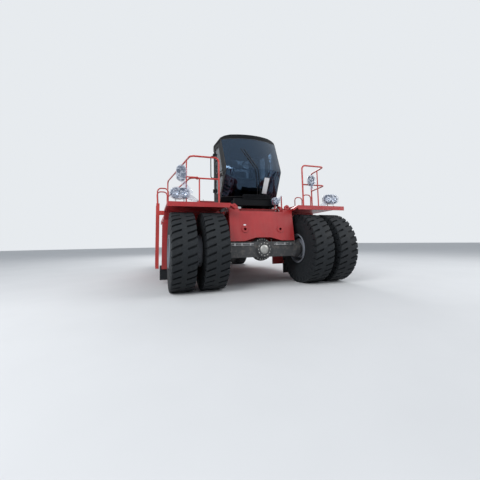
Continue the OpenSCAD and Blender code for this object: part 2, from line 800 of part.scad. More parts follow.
module cab_roof() {
  edge = cab_half_w + 10;
  color(DARK) from_front() intersection() {
    cab_form(0);
    plate_x([-3000, 500]) polygon([[-edge, roof_z], [edge, roof_z], [edge, roof_z + 30],
      [edge - 150, cab_top - 24], [edge - 290, cab_top], [290 - edge, cab_top], [150 - edge, cab_top - 24],
      [-edge, roof_z + 30]]);
  }
}

module glass_skin() {
  difference() {
    cab_form(12);
    cab_form(12 + glass_t);
  }
}

module windscreen() {
  color(GLASS) from_front() intersection() {
    glass_skin();
    screen_zone(seat_gap);
  }
}

module cab_windows() {
  color(GLASS) from_front() intersection() {
    glass_skin();
    union() {
      rear_window_zone(seat_gap);
      quarter_zone(seat_gap);
    }
  }
}

module cab_door(side) {
  color(DARK) from_front() on_side(side) {
    difference() {
      intersection() {
        cab_form(0);
        door_zone(door_gap);
      }
      cab_form(cab_wall);
      intersection() {
        cab_form(door_lip);
        translate([-door_rebate, 0, 0]) plate_y([500, 1000])
          polygon(concat([for (z = [cab_bottom, knee_z, belt_z, cab_top]) [door_edge(z), z]],
            [[300, cab_top], [300, cab_bottom]]));
      }
      plate_y([500, 1000]) polygon(door_window);
      plate_y([500, 1000]) polygon(door_low_window);
    }
    for (z = hinge_z) difference() {
      union() {
        rod_z(door_x[0], hinge_y, [z - 29, z + 29], hinge_r + 7);
        block([door_x[0], window_rear - 4], [hinge_y - 8, hinge_y + 6], [z - 29, z + 29]);
        block([door_x[0] + 40, window_rear - 4], [cab_half_w - 40, hinge_y], [z - 29, z + 29]);
      }
      rod_z(door_x[0], hinge_y, [z - 30, z + 30], hinge_r + running_gap);
    }
  }
}

module door_glass(side) {
  color(GLASS) from_front() on_side(side) intersection() {
    glass_skin();
    union() {
      plate_y([500, 1000]) offset_window(door_window);
      plate_y([500, 1000]) offset_window(door_low_window);
    }
  }
}

module offset_window(points) {
  middle = [for (k = [0, 1]) (min([for (p = points) p[k]]) + max([for (p = points) p[k]])) / 2];
  polygon([for (p = points) middle + (p - middle) * 0.9985]);
}

module seat() {
  cushion_z = floor_z + 415;
  top_z = floor_z + 1005;
  color("dimgray") from_front() {
    block([-1420, -1080], [-160, 160], [floor_z, cushion_z - 139]);
    plate_y([-260, 260]) polygon(round_rect([-1470, cushion_z - 140], [-960, cushion_z], 50));
    plate_y([-240, 240]) polygon([[-1470, cushion_z - 1], [-1340, cushion_z - 1], [-1400, cushion_z + 430],
      [-1440, top_z - 20], [-1530, top_z - 10], [-1520, cushion_z + 300]]);
    plate_y([-130, 130]) polygon(round_rect([-1540, top_z + 20], [-1440, top_z + 170], 38));
    both_sides() {
      plate_y([275, 345]) polygon(round_rect([-1440, cushion_z + 170], [-1080, cushion_z + 230], 28));
      block([-1440, -1380], [255, 340], [cushion_z - 50, cushion_z + 175]);
    }
    block([-1520, -1470], [-40, 40], [top_z - 30, top_z + 50]);
  }
}

wheel_x = -720;
wheel_z = floor_z + 955;

module driving_console() {
  color(DARK) from_front() {
    plate_y([-400, 400]) polygon([[-800, floor_z], [-620, floor_z], [-400, floor_z + 365],
      [-400, floor_z + 485], [-560, floor_z + 545], [-680, floor_z + 445]]);
    translate([wheel_x, 60, wheel_z]) rotate([0, -28, 0]) {
      rotate_extrude() translate([205, 0]) circle(r = 16, $fn = 20);
      rod_z(0, 0, [-40, 12], 45);
      for (a = [30, 150, 270]) rotate([0, 0, a]) block([35, 196], [-14, 14], [-8, 6]);
      rod_z(0, 0, [-520, -38], 38);
    }
  }
}

module wipers() {
  color(DARK) from_front() for (shift = [0, 70]) {
    spindle_y = 110 + shift;
    points = [for (p = [[110, 2150], [100, 2225], [20, 2480], [-60, 2700], [-190, 2980], [-330, 3290]])
      [front_x(p[0] + shift, p[1], 14), p[0] + shift, p[1]]];
    tube(points, 7, 25);
    translate([front_x(spindle_y, 2150, seat_gap + 16 * spindle_y / bulge_r), spindle_y, 2150])
      rotate([0, 90 + lower_lean, 0]) cylinder(r = 16, h = 18);
  }
}

// Engine bay

hood_hinge_x = [hood_x[0] + 450, hood_x[1] - 450];
hood_hinge_z = hood_top - 60;
hood_hinge_off = 16;
duct_half = tower_w / 2 - tower_t - 1;
duct_top = girder_top + 530;

module engine_hood() {
  y = hood_w / 2;
  color(PAINT) from_front() {
    difference() {
      plate_y([-y, y]) polygon([[hood_x[0], deck_top], [hood_x[1], deck_top], [hood_x[1], hood_top - 90],
        [hood_x[1] - 90, hood_top], [hood_x[0], hood_top]]);
      block([hood_x[0] + hood_wall, hood_x[1] - hood_wall], [-y + hood_wall, y - hood_wall],
        [deck_top - 1, hood_top - hood_wall]);
      both_sides() block([hood_x[0] + 150, hood_x[1] - 150], [y - hood_wall - 1, y + 1],
        [deck_top + 60, hood_hinge_z]);
    }
    both_sides() for (x = hood_hinge_x) {
      rod_x([x - 45, x + 45], y + hood_hinge_off, hood_hinge_z, hinge_r);
      for (step = [-45, 30]) {
        rod_x([x + step, x + step + 15], y + hood_hinge_off, hood_hinge_z, 14);
        block([x + step, x + step + 15], [y - 10, y + hood_hinge_off + 6],
          [hood_hinge_z + 4, hood_hinge_z + 30]);
      }
    }
    difference() {
      block([tower_x - 820, hood_x[0]], [-duct_half, duct_half], [girder_top, duct_top]);
      block([tower_x - 821, hood_x[0] + 1], [hood_wall - duct_half, duct_half - hood_wall],
        [girder_top - 1, duct_top - hood_wall]);
      block([tower_x + 630, tower_x + 710], [-duct_half - 1, duct_half + 1], [girder_top - 1, 2000]);
    }
  }
}

module hood_door(side) {
  y = hood_w / 2;
  color(PAINT) from_front() on_side(side) {
    difference() {
      block([hood_x[0] + 150 + door_gap, hood_x[1] - 150 - door_gap], [y - hood_wall, y],
        [deck_top + 60 + door_gap, hood_hinge_z - door_gap]);
      for (x = [hood_x[0] + 260, hood_x[1] - 560]) for (z = [deck_top + 150:45:deck_top + 380]) {
        translate([0, y - hood_wall / 2, z]) rotate([-35, 0, 0]) block([x, x + 300], [-40, 40], [0, 16]);
      }
    }
    for (x = hood_hinge_x) difference() {
      union() {
        rod_x([x - 29, x + 29], y + hood_hinge_off, hood_hinge_z, hinge_r + 6);
        block([x - 29, x + 29], [y + hood_hinge_off - 8, y + hood_hinge_off + 6],
          [hood_hinge_z - 100, hood_hinge_z]);
        block([x - 29, x + 29], [y - 8, y + hood_hinge_off], [hood_hinge_z - 100, hood_hinge_z - 40]);
      }
      rod_x([x - 30, x + 30], y + hood_hinge_off, hood_hinge_z, hinge_r + running_gap);
    }
  }
}

// The engine with the gearbox in front of it
module engine() {
  x = [steer_x + 1280, steer_x + 2500];
  color("darkslategray") from_front() {
    block(x, [-engine_half, engine_half], [1050, hood_top - 310]);
    block([x[1] - 1, shaft_x[0] - 60], [-270, 270], [700, 1500]);
    rod_x([shaft_x[0] - 61, shaft_x[0]], 0, shaft_z, 110);
  }
}

module radiator_grille() {
  slat_pitch = 48;
  color(DARK) from_front() difference() {
    block([tower_x - 850, tower_x - 820], [-duct_half, duct_half], [girder_top, duct_top]);
    for (z = [girder_top + 40:slat_pitch:duct_top - 60]) {
      translate([tower_x - 835, 0, z]) rotate([0, 35, 0]) both_sides()
        block([-40, 40], [15, duct_half - 30], [0, 20]);
    }
  }
}

module exhaust() {
  x = hood_x[0] + 200;
  y = hood_w / 2 - 210;
  color(STEEL) from_front() {
    rod_z(x, y, [hood_top, hood_top + 240], 75);
    tube([[x, y, hood_top + 235], [x, y, hood_top + 400], [x - 110, y, hood_top + 460]], 45, 45);
  }
}

module air_cleaner() {
  x = hood_x[1] + 200;
  y = 1250;
  z = deck_top + 230;
  color(DARK) from_front() {
    rod_x([x, x + 650], y, z, 190);
    for (foot = [x + 100, x + 490]) block([foot, foot + 60], [y - 120, y + 120], [deck_top, z - 110]);
    rod_z(x + 510, y, [z + 70, z + 390], 70);
    rod_z(x + 510, y, [z + 389, z + 450], 115);
    rod_x([x + 649, x + 690], y, z, 165);
  }
}

// A tank with round edges, two straps and a filler neck on its outer side
module tank(side) {
  strap = 8;
  neck = [tank_x[1] - 330, tank_z[1] - 220];
  color(PAINT) from_front() on_side(side) {
    plate_x(tank_x) polygon(round_rect([tank_y[0], tank_z[0]], [tank_y[1], tank_z[1]], 90));
    for (x = [tank_x[0] + 620, tank_x[1] - 840]) {
      plate_x([x, x + 70]) polygon(round_rect([tank_y[0] - strap, tank_z[0] - strap],
        [tank_y[1] + strap, tank_z[1] + strap], 90 + strap));
    }
    rod_y(neck[0], [tank_y[1] - 1, tank_y[1] + 40], neck[1], 62);
    rod_y(neck[0], [tank_y[1] + 39, tank_y[1] + 58], neck[1], 78);
  }
}

tow_pin_r = 26;

module counterweight() {
  half = 1450;
  front = steer_x - 995;
  color(PAINT) from_front() difference() {
    union() {
      plate_z([600, 1950]) polygon([[front, -half], [front, half], [back_x + 160, half],
        [back_x + 60, half - 60], [back_x, half - 260], [back_x, 260 - half], [back_x + 60, 60 - half],
        [back_x + 160, -half]]);
      block([front - 1, rear_frame_end], [-rear_girder[1], rear_girder[1]], [760, girder_top]);
    }
    block([back_x - 1, front + 1], [tower_t - tower_w / 2, tower_w / 2 - tower_t], [girder_top, 1951]);
    block([back_x - 1, back_x + 210], [-130, 130], [760, 850]);
    rod_z(back_x + 100, 0, [640, 1000], tow_pin_r);
  }
}

main_frame();
rear_frame();
lift_cheeks();
side_brackets();
front_plate();
boom_tower();
drive_axle();
drive_shaft();
steer_axle();
steer_ram();
knuckle(1);  // knuckle_left
knuckle(-1);  // knuckle_right
front_tyres(1);  // front_tyres_left
front_tyres(-1);  // front_tyres_right
front_rims(1);  // front_rims_left
front_rims(-1);  // front_rims_right
rear_tyre(1);  // rear_tyre_left
rear_tyre(-1);  // rear_tyre_right
rear_rim(1);  // rear_rim_left
rear_rim(-1);  // rear_rim_right
fenders();
mud_flaps();
side_decks();
railings();
ladders();
lamps();
mirrors();
slide_rails();
cab_carriage();
cab_shell();
cab_roof();
windscreen();
cab_windows();
cab_door(1);  // cab_door_left
cab_door(-1);  // cab_door_right
door_glass(1);  // door_glass_left
door_glass(-1);  // door_glass_right
seat();
driving_console();
wipers();
engine_hood();
hood_door(1);  // hood_door_left
hood_door(-1);  // hood_door_right
engine();
radiator_grille();
exhaust();
air_cleaner();
tank(-1);  // fuel_tank
tank(1);  // hydraulic_tank
counterweight();
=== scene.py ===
"""The looks of a container reach stacker without its boom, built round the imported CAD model."""
import math

import bpy
from mathutils import bvhtree, Matrix, Vector, noise


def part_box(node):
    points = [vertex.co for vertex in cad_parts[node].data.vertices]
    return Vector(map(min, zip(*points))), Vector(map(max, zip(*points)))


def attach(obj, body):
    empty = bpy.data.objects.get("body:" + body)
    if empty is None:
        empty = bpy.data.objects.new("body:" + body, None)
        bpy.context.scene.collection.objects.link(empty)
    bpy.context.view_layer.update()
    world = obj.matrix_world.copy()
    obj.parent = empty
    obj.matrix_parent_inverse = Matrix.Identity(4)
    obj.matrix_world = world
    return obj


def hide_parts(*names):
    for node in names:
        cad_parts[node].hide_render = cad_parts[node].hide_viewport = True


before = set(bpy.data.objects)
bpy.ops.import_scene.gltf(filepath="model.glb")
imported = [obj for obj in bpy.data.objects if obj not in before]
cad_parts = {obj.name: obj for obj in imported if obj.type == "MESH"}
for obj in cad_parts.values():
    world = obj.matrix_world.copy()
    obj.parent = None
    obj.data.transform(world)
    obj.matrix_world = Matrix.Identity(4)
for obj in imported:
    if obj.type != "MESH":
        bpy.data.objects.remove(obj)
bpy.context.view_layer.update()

SIDES = (-1, 1)
NAMED_SIDES = (("left", 1), ("right", -1))
AHEAD, UP = Vector((1, 0, 0)), Vector((0, 0, 1))
EIGHTH_TURN = 0.785


def middle(node):
    low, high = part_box(node)
    return (low + high) / 2


AXLE_X, AXLE_Z = middle("front_tyres_right").x, middle("front_tyres_right").z
TYRE_R = (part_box("front_tyres_right")[1].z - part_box("front_tyres_right")[0].z) / 2


# Camera, placed by what the photograph shows of the tyres, fenders, front plate and rails

IMAGE = 480
FOCAL_PX = 262.5
CENTRE_ROW_PX = 214
CAMERA_AT = Vector((AXLE_X + 5.605, -2.384, 0.981))
CAMERA_YAW, CAMERA_PITCH, CAMERA_ROLL = (math.radians(a) for a in (18.69, 6.08, -1.043))


def make_camera():
    data = bpy.data.cameras.new("camera")
    data.sensor_width = 36
    data.lens = FOCAL_PX * data.sensor_width / IMAGE
    data.shift_y = (CENTRE_ROW_PX - IMAGE / 2) / IMAGE
    data.clip_start, data.clip_end = 0.05, 300
    camera = bpy.data.objects.new("camera", data)
    bpy.context.scene.collection.objects.link(camera)
    ahead = Vector((-math.cos(CAMERA_YAW), math.sin(CAMERA_YAW), 0))
    right = Vector((math.sin(CAMERA_YAW), math.cos(CAMERA_YAW), 0))
    look = ahead * math.cos(CAMERA_PITCH) + UP * math.sin(CAMERA_PITCH)
    up = UP * math.cos(CAMERA_PITCH) - ahead * math.sin(CAMERA_PITCH)
    side = right * math.cos(CAMERA_ROLL) + up * math.sin(CAMERA_ROLL)
    up = up * math.cos(CAMERA_ROLL) - right * math.sin(CAMERA_ROLL)
    turn = Matrix((side, up, -look)).transposed().to_4x4()
    camera.matrix_world = Matrix.Translation(CAMERA_AT) @ turn
    bpy.context.scene.camera = camera


make_camera()


# Materials

class Nodes:
    """The node tree of a new material, with a short way to add and join nodes."""

    def __init__(self, name):
        self.material = bpy.data.materials.new(name)
        self.material.use_nodes = True
        self.tree = self.material.node_tree
        self.shader = self.tree.nodes["Principled BSDF"]
        self.coords = self.add("ShaderNodeTexCoord").outputs["Object"]

    def add(self, kind, **values):
        node = self.tree.nodes.new(kind)
        for key, value in values.items():
            setattr(node, key, value)
        return node

    def feed(self, socket, value):
        """Gives a socket a number, a colour or another node's output."""
        if isinstance(value, (int, float)):
            socket.default_value = value
        elif isinstance(value, tuple):
            socket.default_value = (*value, 1)
        else:
            self.tree.links.new(value, socket)

    def set(self, **values):
        for key, value in values.items():
            self.feed(self.shader.inputs[key.replace("_", " ")], value)

    def noise(self, scale, detail=4.0, roughness=0.6, coords=None):
        node = self.add("ShaderNodeTexNoise")
        inputs = {"Scale": scale, "Detail": detail, "Roughness": roughness, "Vector": coords or self.coords}
        for key, value in inputs.items():
            self.feed(node.inputs[key], value)
        return node.outputs["Fac"]

    def range(self, value, low, high, to_low=0.0, to_high=1.0):
        node = self.add("ShaderNodeMapRange")
        inputs = {"From Min": low, "From Max": high, "To Min": to_low, "To Max": to_high, "Value": value}
        for key, number in inputs.items():
            self.feed(node.inputs[key], number)
        return node.outputs["Result"]

    def math(self, operation, first, second):
        node = self.add("ShaderNodeMath", operation=operation)
        for socket, value in zip(node.inputs, (first, second)):
            self.feed(socket, value)
        return node.outputs[0]

    def mix(self, factor, first, second):
        node = self.add("ShaderNodeMix", data_type="RGBA")
        self.feed(node.inputs["Factor"], factor)
        self.feed(node.inputs[6], first)
        self.feed(node.inputs[7], second)
        return node.outputs[2]

    def axis(self, vector, name):
        node = self.add("ShaderNodeSeparateXYZ")
        self.feed(node.inputs[0], vector)
        return node.outputs[name]

    def stretched(self, scale, turn=(0, 0, 0)):
        node = self.add("ShaderNodeMapping")
        node.inputs["Scale"].default_value = scale
        node.inputs["Rotation"].default_value = turn
        self.feed(node.inputs["Vector"], self.coords)
        return node.outputs[0]

    def bump(self, height, distance, strength=1.0, edge=0.0):
        node = self.add("ShaderNodeBump")
        for key, value in {"Distance": distance, "Strength": strength, "Height": height}.items():
            self.feed(node.inputs[key], value)
        if edge:
            rounded = self.add("ShaderNodeBevel", samples=4)
            rounded.inputs["Radius"].default_value = edge
            self.feed(node.inputs["Normal"], rounded.outputs[0])
        self.feed(self.shader.inputs["Normal"], node.outputs[0])

    def facing_up(self):
        normal = self.add("ShaderNodeNewGeometry").outputs["Normal"]
        return self.range(self.axis(normal, "Z"), 0.55, 0.95)


DUST = (0.23, 0.20, 0.17)


def painted(name, colour, faded, rough=0.38, coat=0.25, dust=0.5, edge=0.006, shine=0.5):
    """Sprayed paint: it has faint clouds, dust on what faces up and near the ground, and orange peel."""
    m = Nodes(name)
    clouds = m.range(m.noise(1.7, 5), 0.35, 0.68)
    tone = m.mix(clouds, colour, faded)
    streaks = m.noise(3.0, 6, 0.7, m.stretched((3.0, 3.0, 0.5)))
    low_down = m.range(m.axis(m.coords, "Z"), 2.2, 0.1, 0.0, 0.55)
    settled = m.math("MAXIMUM", m.math("MULTIPLY", m.facing_up(), 0.75), low_down)
    grime = m.math("MULTIPLY", m.math("MULTIPLY", settled, m.range(streaks, 0.38, 0.72)), dust)
    m.set(Base_Color=m.mix(grime, tone, DUST))
    smooth = m.range(m.noise(9, 4), 0.3, 0.8, rough - 0.06, rough + 0.12)
    m.set(Roughness=m.math("ADD", smooth, m.math("MULTIPLY", grime, 0.35)))
    m.set(Coat_Weight=coat, Coat_Roughness=0.12, Specular_IOR_Level=shine)
    m.bump(m.noise(160, 3), 0.0006, 0.5, edge)
    return m.material


def tread_plate(name, colour):
    """Painted steel deck with raised diagonal lozenges."""
    m = Nodes(name)
    bars = []
    for turn in (45, -45):
        wave = m.add("ShaderNodeTexWave", wave_type="BANDS", bands_direction="X")
        m.feed(wave.inputs["Scale"], 7.0)
        m.feed(wave.inputs["Vector"], m.stretched((1, 1, 1), (0, 0, math.radians(turn))))
        bars.append(m.range(wave.outputs["Fac"], 0.72, 0.82))
    pattern = m.math("MULTIPLY", m.math("MAXIMUM", *bars), m.facing_up())
    dust = m.range(m.noise(2.3, 6, 0.7), 0.35, 0.75, 0.15, 0.75)
    m.set(Base_Color=m.mix(m.math("MULTIPLY", dust, m.facing_up()), colour, DUST))
    m.set(Roughness=m.range(dust, 0.1, 0.8, 0.4, 0.75), Coat_Weight=0.1)
    m.bump(pattern, 0.004, 1.0, 0.005)
    return m.material


def rubber(name, dusty=0.5):
    """Tyre rubber, with a grey bloom and road dust in scattered scuffs."""
    m = Nodes(name)
    cloud = m.range(m.noise(4.0, 6, 0.7), 0.3, 0.75)
    tone = m.mix(cloud, (0.006, 0.008, 0.010), (0.011, 0.014, 0.017))
    scuffs = m.range(m.noise(26, 6, 0.75), 0.52, 0.78, 0.0, dusty)
    m.set(Base_Color=m.mix(scuffs, tone, (0.045, 0.047, 0.050)))
    m.set(Roughness=m.range(cloud, 0, 1, 0.62, 0.86), Specular_IOR_Level=0.3)
    m.bump(m.noise(240, 4), 0.0012, 0.6)
    return m.material


def metal(name, colour, rough):
    m = Nodes(name)
    cloud = m.range(m.noise(6, 5), 0.3, 0.75)
    m.set(Base_Color=m.mix(cloud, colour, tuple(c * 0.72 for c in colour)))
    m.set(Roughness=m.range(m.noise(120.0, 3), 0.3, 0.7, rough * 0.75, rough * 1.35), Metallic=1.0)
    m.bump(m.noise(240.0, 2), 0.0003, 0.4, 0.003)
    return m.material


def casting(name, colour):
    """Sand-cast iron under thin paint, oily in places."""
    m = Nodes(name)
    cloud = m.range(m.noise(3.2, 6, 0.7), 0.35, 0.7)
    tone = m.mix(cloud, colour, tuple(c * 1.6 for c in colour))
    low_down = m.range(m.noise(11, 5, 0.7), 0.5, 0.75, 0.0, 0.45)
    m.set(Base_Color=m.mix(low_down, tone, DUST), Roughness=m.range(cloud, 0, 1, 0.48, 0.78))
    m.bump(m.noise(85, 5), 0.0018, 0.7, 0.008)
    return m.material


def plastic(name, colour, rough=0.5):
    m = Nodes(name)
    cloud = m.range(m.noise(7, 5), 0.3, 0.75)
    m.set(Base_Color=m.mix(cloud, colour, tuple(c * 1.35 + 0.004 for c in colour)))
    m.set(Roughness=m.range(m.noise(30, 4), 0.3, 0.7, rough - 0.08, rough + 0.1))
    m.bump(m.noise(400, 2), 0.0003, 0.5, 0.003)
    return m.material


def glass(name, tint_and_painted_light, rough=0.01, dirt=0.08, painted_sky_reflection=None):
    m = Nodes(name)
    film = m.range(m.noise(5, 6, 0.7), 0.45, 0.8, 0.0, dirt)
    m.set(Base_Color=m.mix(film, tint_and_painted_light, (0.62, 0.64, 0.66)), Roughness=m.math("ADD", film, rough))
    m.set(IOR=1.52, Transmission_Weight=1.0)
    # A blue specular tint and a raised IOR paint a reflection of the sky onto the glass.
    if painted_sky_reflection:
        m.set(IOR=1.75, Specular_Tint=painted_sky_reflection)
    m.bump(m.noise(1.6, 2), 0.002, 0.15)
    return m.material


def transit_film(name):
    """Thin clear film wrapped round lamps and mirrors, with painted glints that run white along its folds
    and whiter patches at random.
    """
    m = Nodes(name)
    folds = m.noise(6.0, 4, 0.55, m.stretched((1.0, 1.0, 1.7), (0.5, 0.3, 0.2)))
    ridge = m.math("ABSOLUTE", m.math("SUBTRACT", folds, 0.5), 0)
    # Painted glints: line is white along the crest of each fold, and patch whitens the film at random; where
    # it is white, the film is also less clear.
    line = m.range(ridge, 0.0, 0.050, 1.0, 0.0)
    patch = m.range(m.noise(5.0, 2), 0.46, 0.66)
    white = m.math("MAXIMUM", m.math("MULTIPLY", line, 0.7), m.math("MULTIPLY", patch, 0.30))
    m.set(Base_Color=m.mix(white, (0.26, 0.33, 0.48), (0.88, 0.91, 0.97)))
    m.set(Alpha=m.range(white, 0, 1, 0.24, 0.84), Roughness=0.14, IOR=1.5, Coat_Weight=0.5)
    m.set(Coat_Roughness=0.06)
    m.bump(folds, 0.02, 0.8)
    return m.material


def cloth(name, colour):
    m = Nodes(name)
    weave = [m.range(m.axis(m.stretched((900, 900, 900)), axis), 0, 1) for axis in "XZ"]
    threads = m.math("MULTIPLY", *[m.math("SINE", w, 0) for w in weave])
    patches = m.range(m.noise(9, 5), 0.3, 0.75)
    m.set(Base_Color=m.mix(patches, colour, tuple(c * 1.5 for c in colour)))
    m.set(Roughness=0.92, Sheen_Weight=0.35)
    m.bump(threads, 0.0006, 0.5)
    return m.material


def paper(name):
    m = Nodes(name)
    cloud = m.range(m.noise(30, 5), 0.3, 0.8)
    m.set(Base_Color=m.mix(cloud, (0.78, 0.79, 0.80), (0.68, 0.69, 0.71)), Roughness=0.85)
    m.bump(m.noise(60, 3), 0.0005, 0.4)
    return m.material


RED = painted("red_paint", (0.36, 0.014, 0.016), (0.27, 0.010, 0.013), dust=0.4)
RED_TUBE = painted("red_tube_paint", (0.45, 0.028, 0.020), (0.36, 0.020, 0.016), dust=0.2, edge=0.0)
BLACK = painted("black_paint", (0.004, 0.005, 0.006), (0.007, 0.008, 0.010), 0.42, 0.0, 0.02, shine=0.10)
DECK = tread_plate("deck_paint", (0.40, 0.020, 0.016))
TYRE = rubber("tyre_rubber")
FLAP = rubber("flap_rubber", 0.25)
RIM = painted("rim_paint", (0.19, 0.21, 0.25), (0.14, 0.155, 0.18), 0.45, 0.1, 0.8)
CAST = casting("grey_casting", (0.030, 0.031, 0.033))
STEEL = metal("bright_steel", (0.56, 0.57, 0.58), 0.34)
CHROME = metal("cylinder_chrome", (0.82, 0.82, 0.83), 0.09)
# The door glass is tinted blue as a painted reflection of the sky.
GLASS = glass("window_glass", (0.22, 0.30, 0.38))
# The cab's fixed windows are nearly black so that the cab stays dark inside: painted shade.
DARK_GLASS = glass("painted_shade_glass", (0.030, 0.042, 0.055))
# The screen is tinted dark as painted shade of the cab behind it, and blue as a painted reflection of the
# sky; its blue specular tint is painted sky reflection too.
SCREEN = glass("screen_glass", (0.095, 0.135, 0.185), dirt=0.03, painted_sky_reflection=(0.42, 0.66, 1.0))
LENS = glass("lamp_lens", (0.86, 0.90, 0.95), 0.04, 0.15)
RED_LENS = glass("red_lens", (0.75, 0.02, 0.015), 0.08)
AMBER_LENS = glass("amber_lens", (0.90, 0.30, 0.02), 0.08)
PLASTIC = plastic("dark_plastic", (0.020, 0.020, 0.022))
BORDER = plastic("screen_border", (0.006, 0.007, 0.009), 0.12)
SEAL = plastic("rubber_seal", (0.012, 0.012, 0.013), 0.62)
GRIP = plastic("grip_strip", (0.030, 0.031, 0.032), 0.9)
WIPER = plastic("wiper_black", (0.003, 0.003, 0.004), 0.75)
PALE_PATCH = plastic("pale_patch", (0.62, 0.64, 0.68), 0.5)
DISPLAY = plastic("display_glass", (0.010, 0.014, 0.020), 0.40)
CLOTH = cloth("seat_cloth", (0.028, 0.029, 0.033))
FILM = transit_film("transit_film")
PAPER = paper("white_paper")
ZINC = metal("zinc_plated_steel", (0.46, 0.46, 0.44), 0.42)
MIRROR = metal("mirror_silver", (0.80, 0.82, 0.84), 0.03)

# The finish of each CAD node whose name begins with a key, where the longest key counts
NODE_FINISH = {
    "main_frame": RED, "rear_frame": RED, "lift_cheeks": RED, "side_brackets": RED, "front_plate": RED,
    "boom_tower": RED, "drive_axle": CAST, "drive_shaft": CAST, "steer_axle": CAST, "steer_ram": CHROME,
    "knuckle_": CAST, "front_tyres_": TYRE, "rear_tyre_": TYRE, "front_rims_": RIM, "rear_rim_": RIM,
    "fenders": RED, "mud_flaps": FLAP, "side_decks": DECK, "railings": RED_TUBE, "ladders": RED_TUBE,
    "lamps": LENS, "mirrors": PLASTIC, "slide_rails": STEEL, "cab_": BLACK, "windscreen": SCREEN,
    "cab_windows": DARK_GLASS, "door_glass_": GLASS, "seat": CLOTH, "driving_console": PLASTIC,
    "wipers": PLASTIC, "engine_hood": RED, "hood_door_": RED, "engine": CAST, "radiator_grille": PLASTIC,
    "exhaust": STEEL, "air_cleaner": BLACK, "fuel_tank": RED, "hydraulic_tank": RED, "counterweight": RED,
}


def finish_nodes():
    for name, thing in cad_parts.items():
        key = max((k for k in NODE_FINISH if name.startswith(k)), key=len)
        thing.data.materials.clear()
        thing.data.materials.append(NODE_FINISH[key])


finish_nodes()


# Shapes

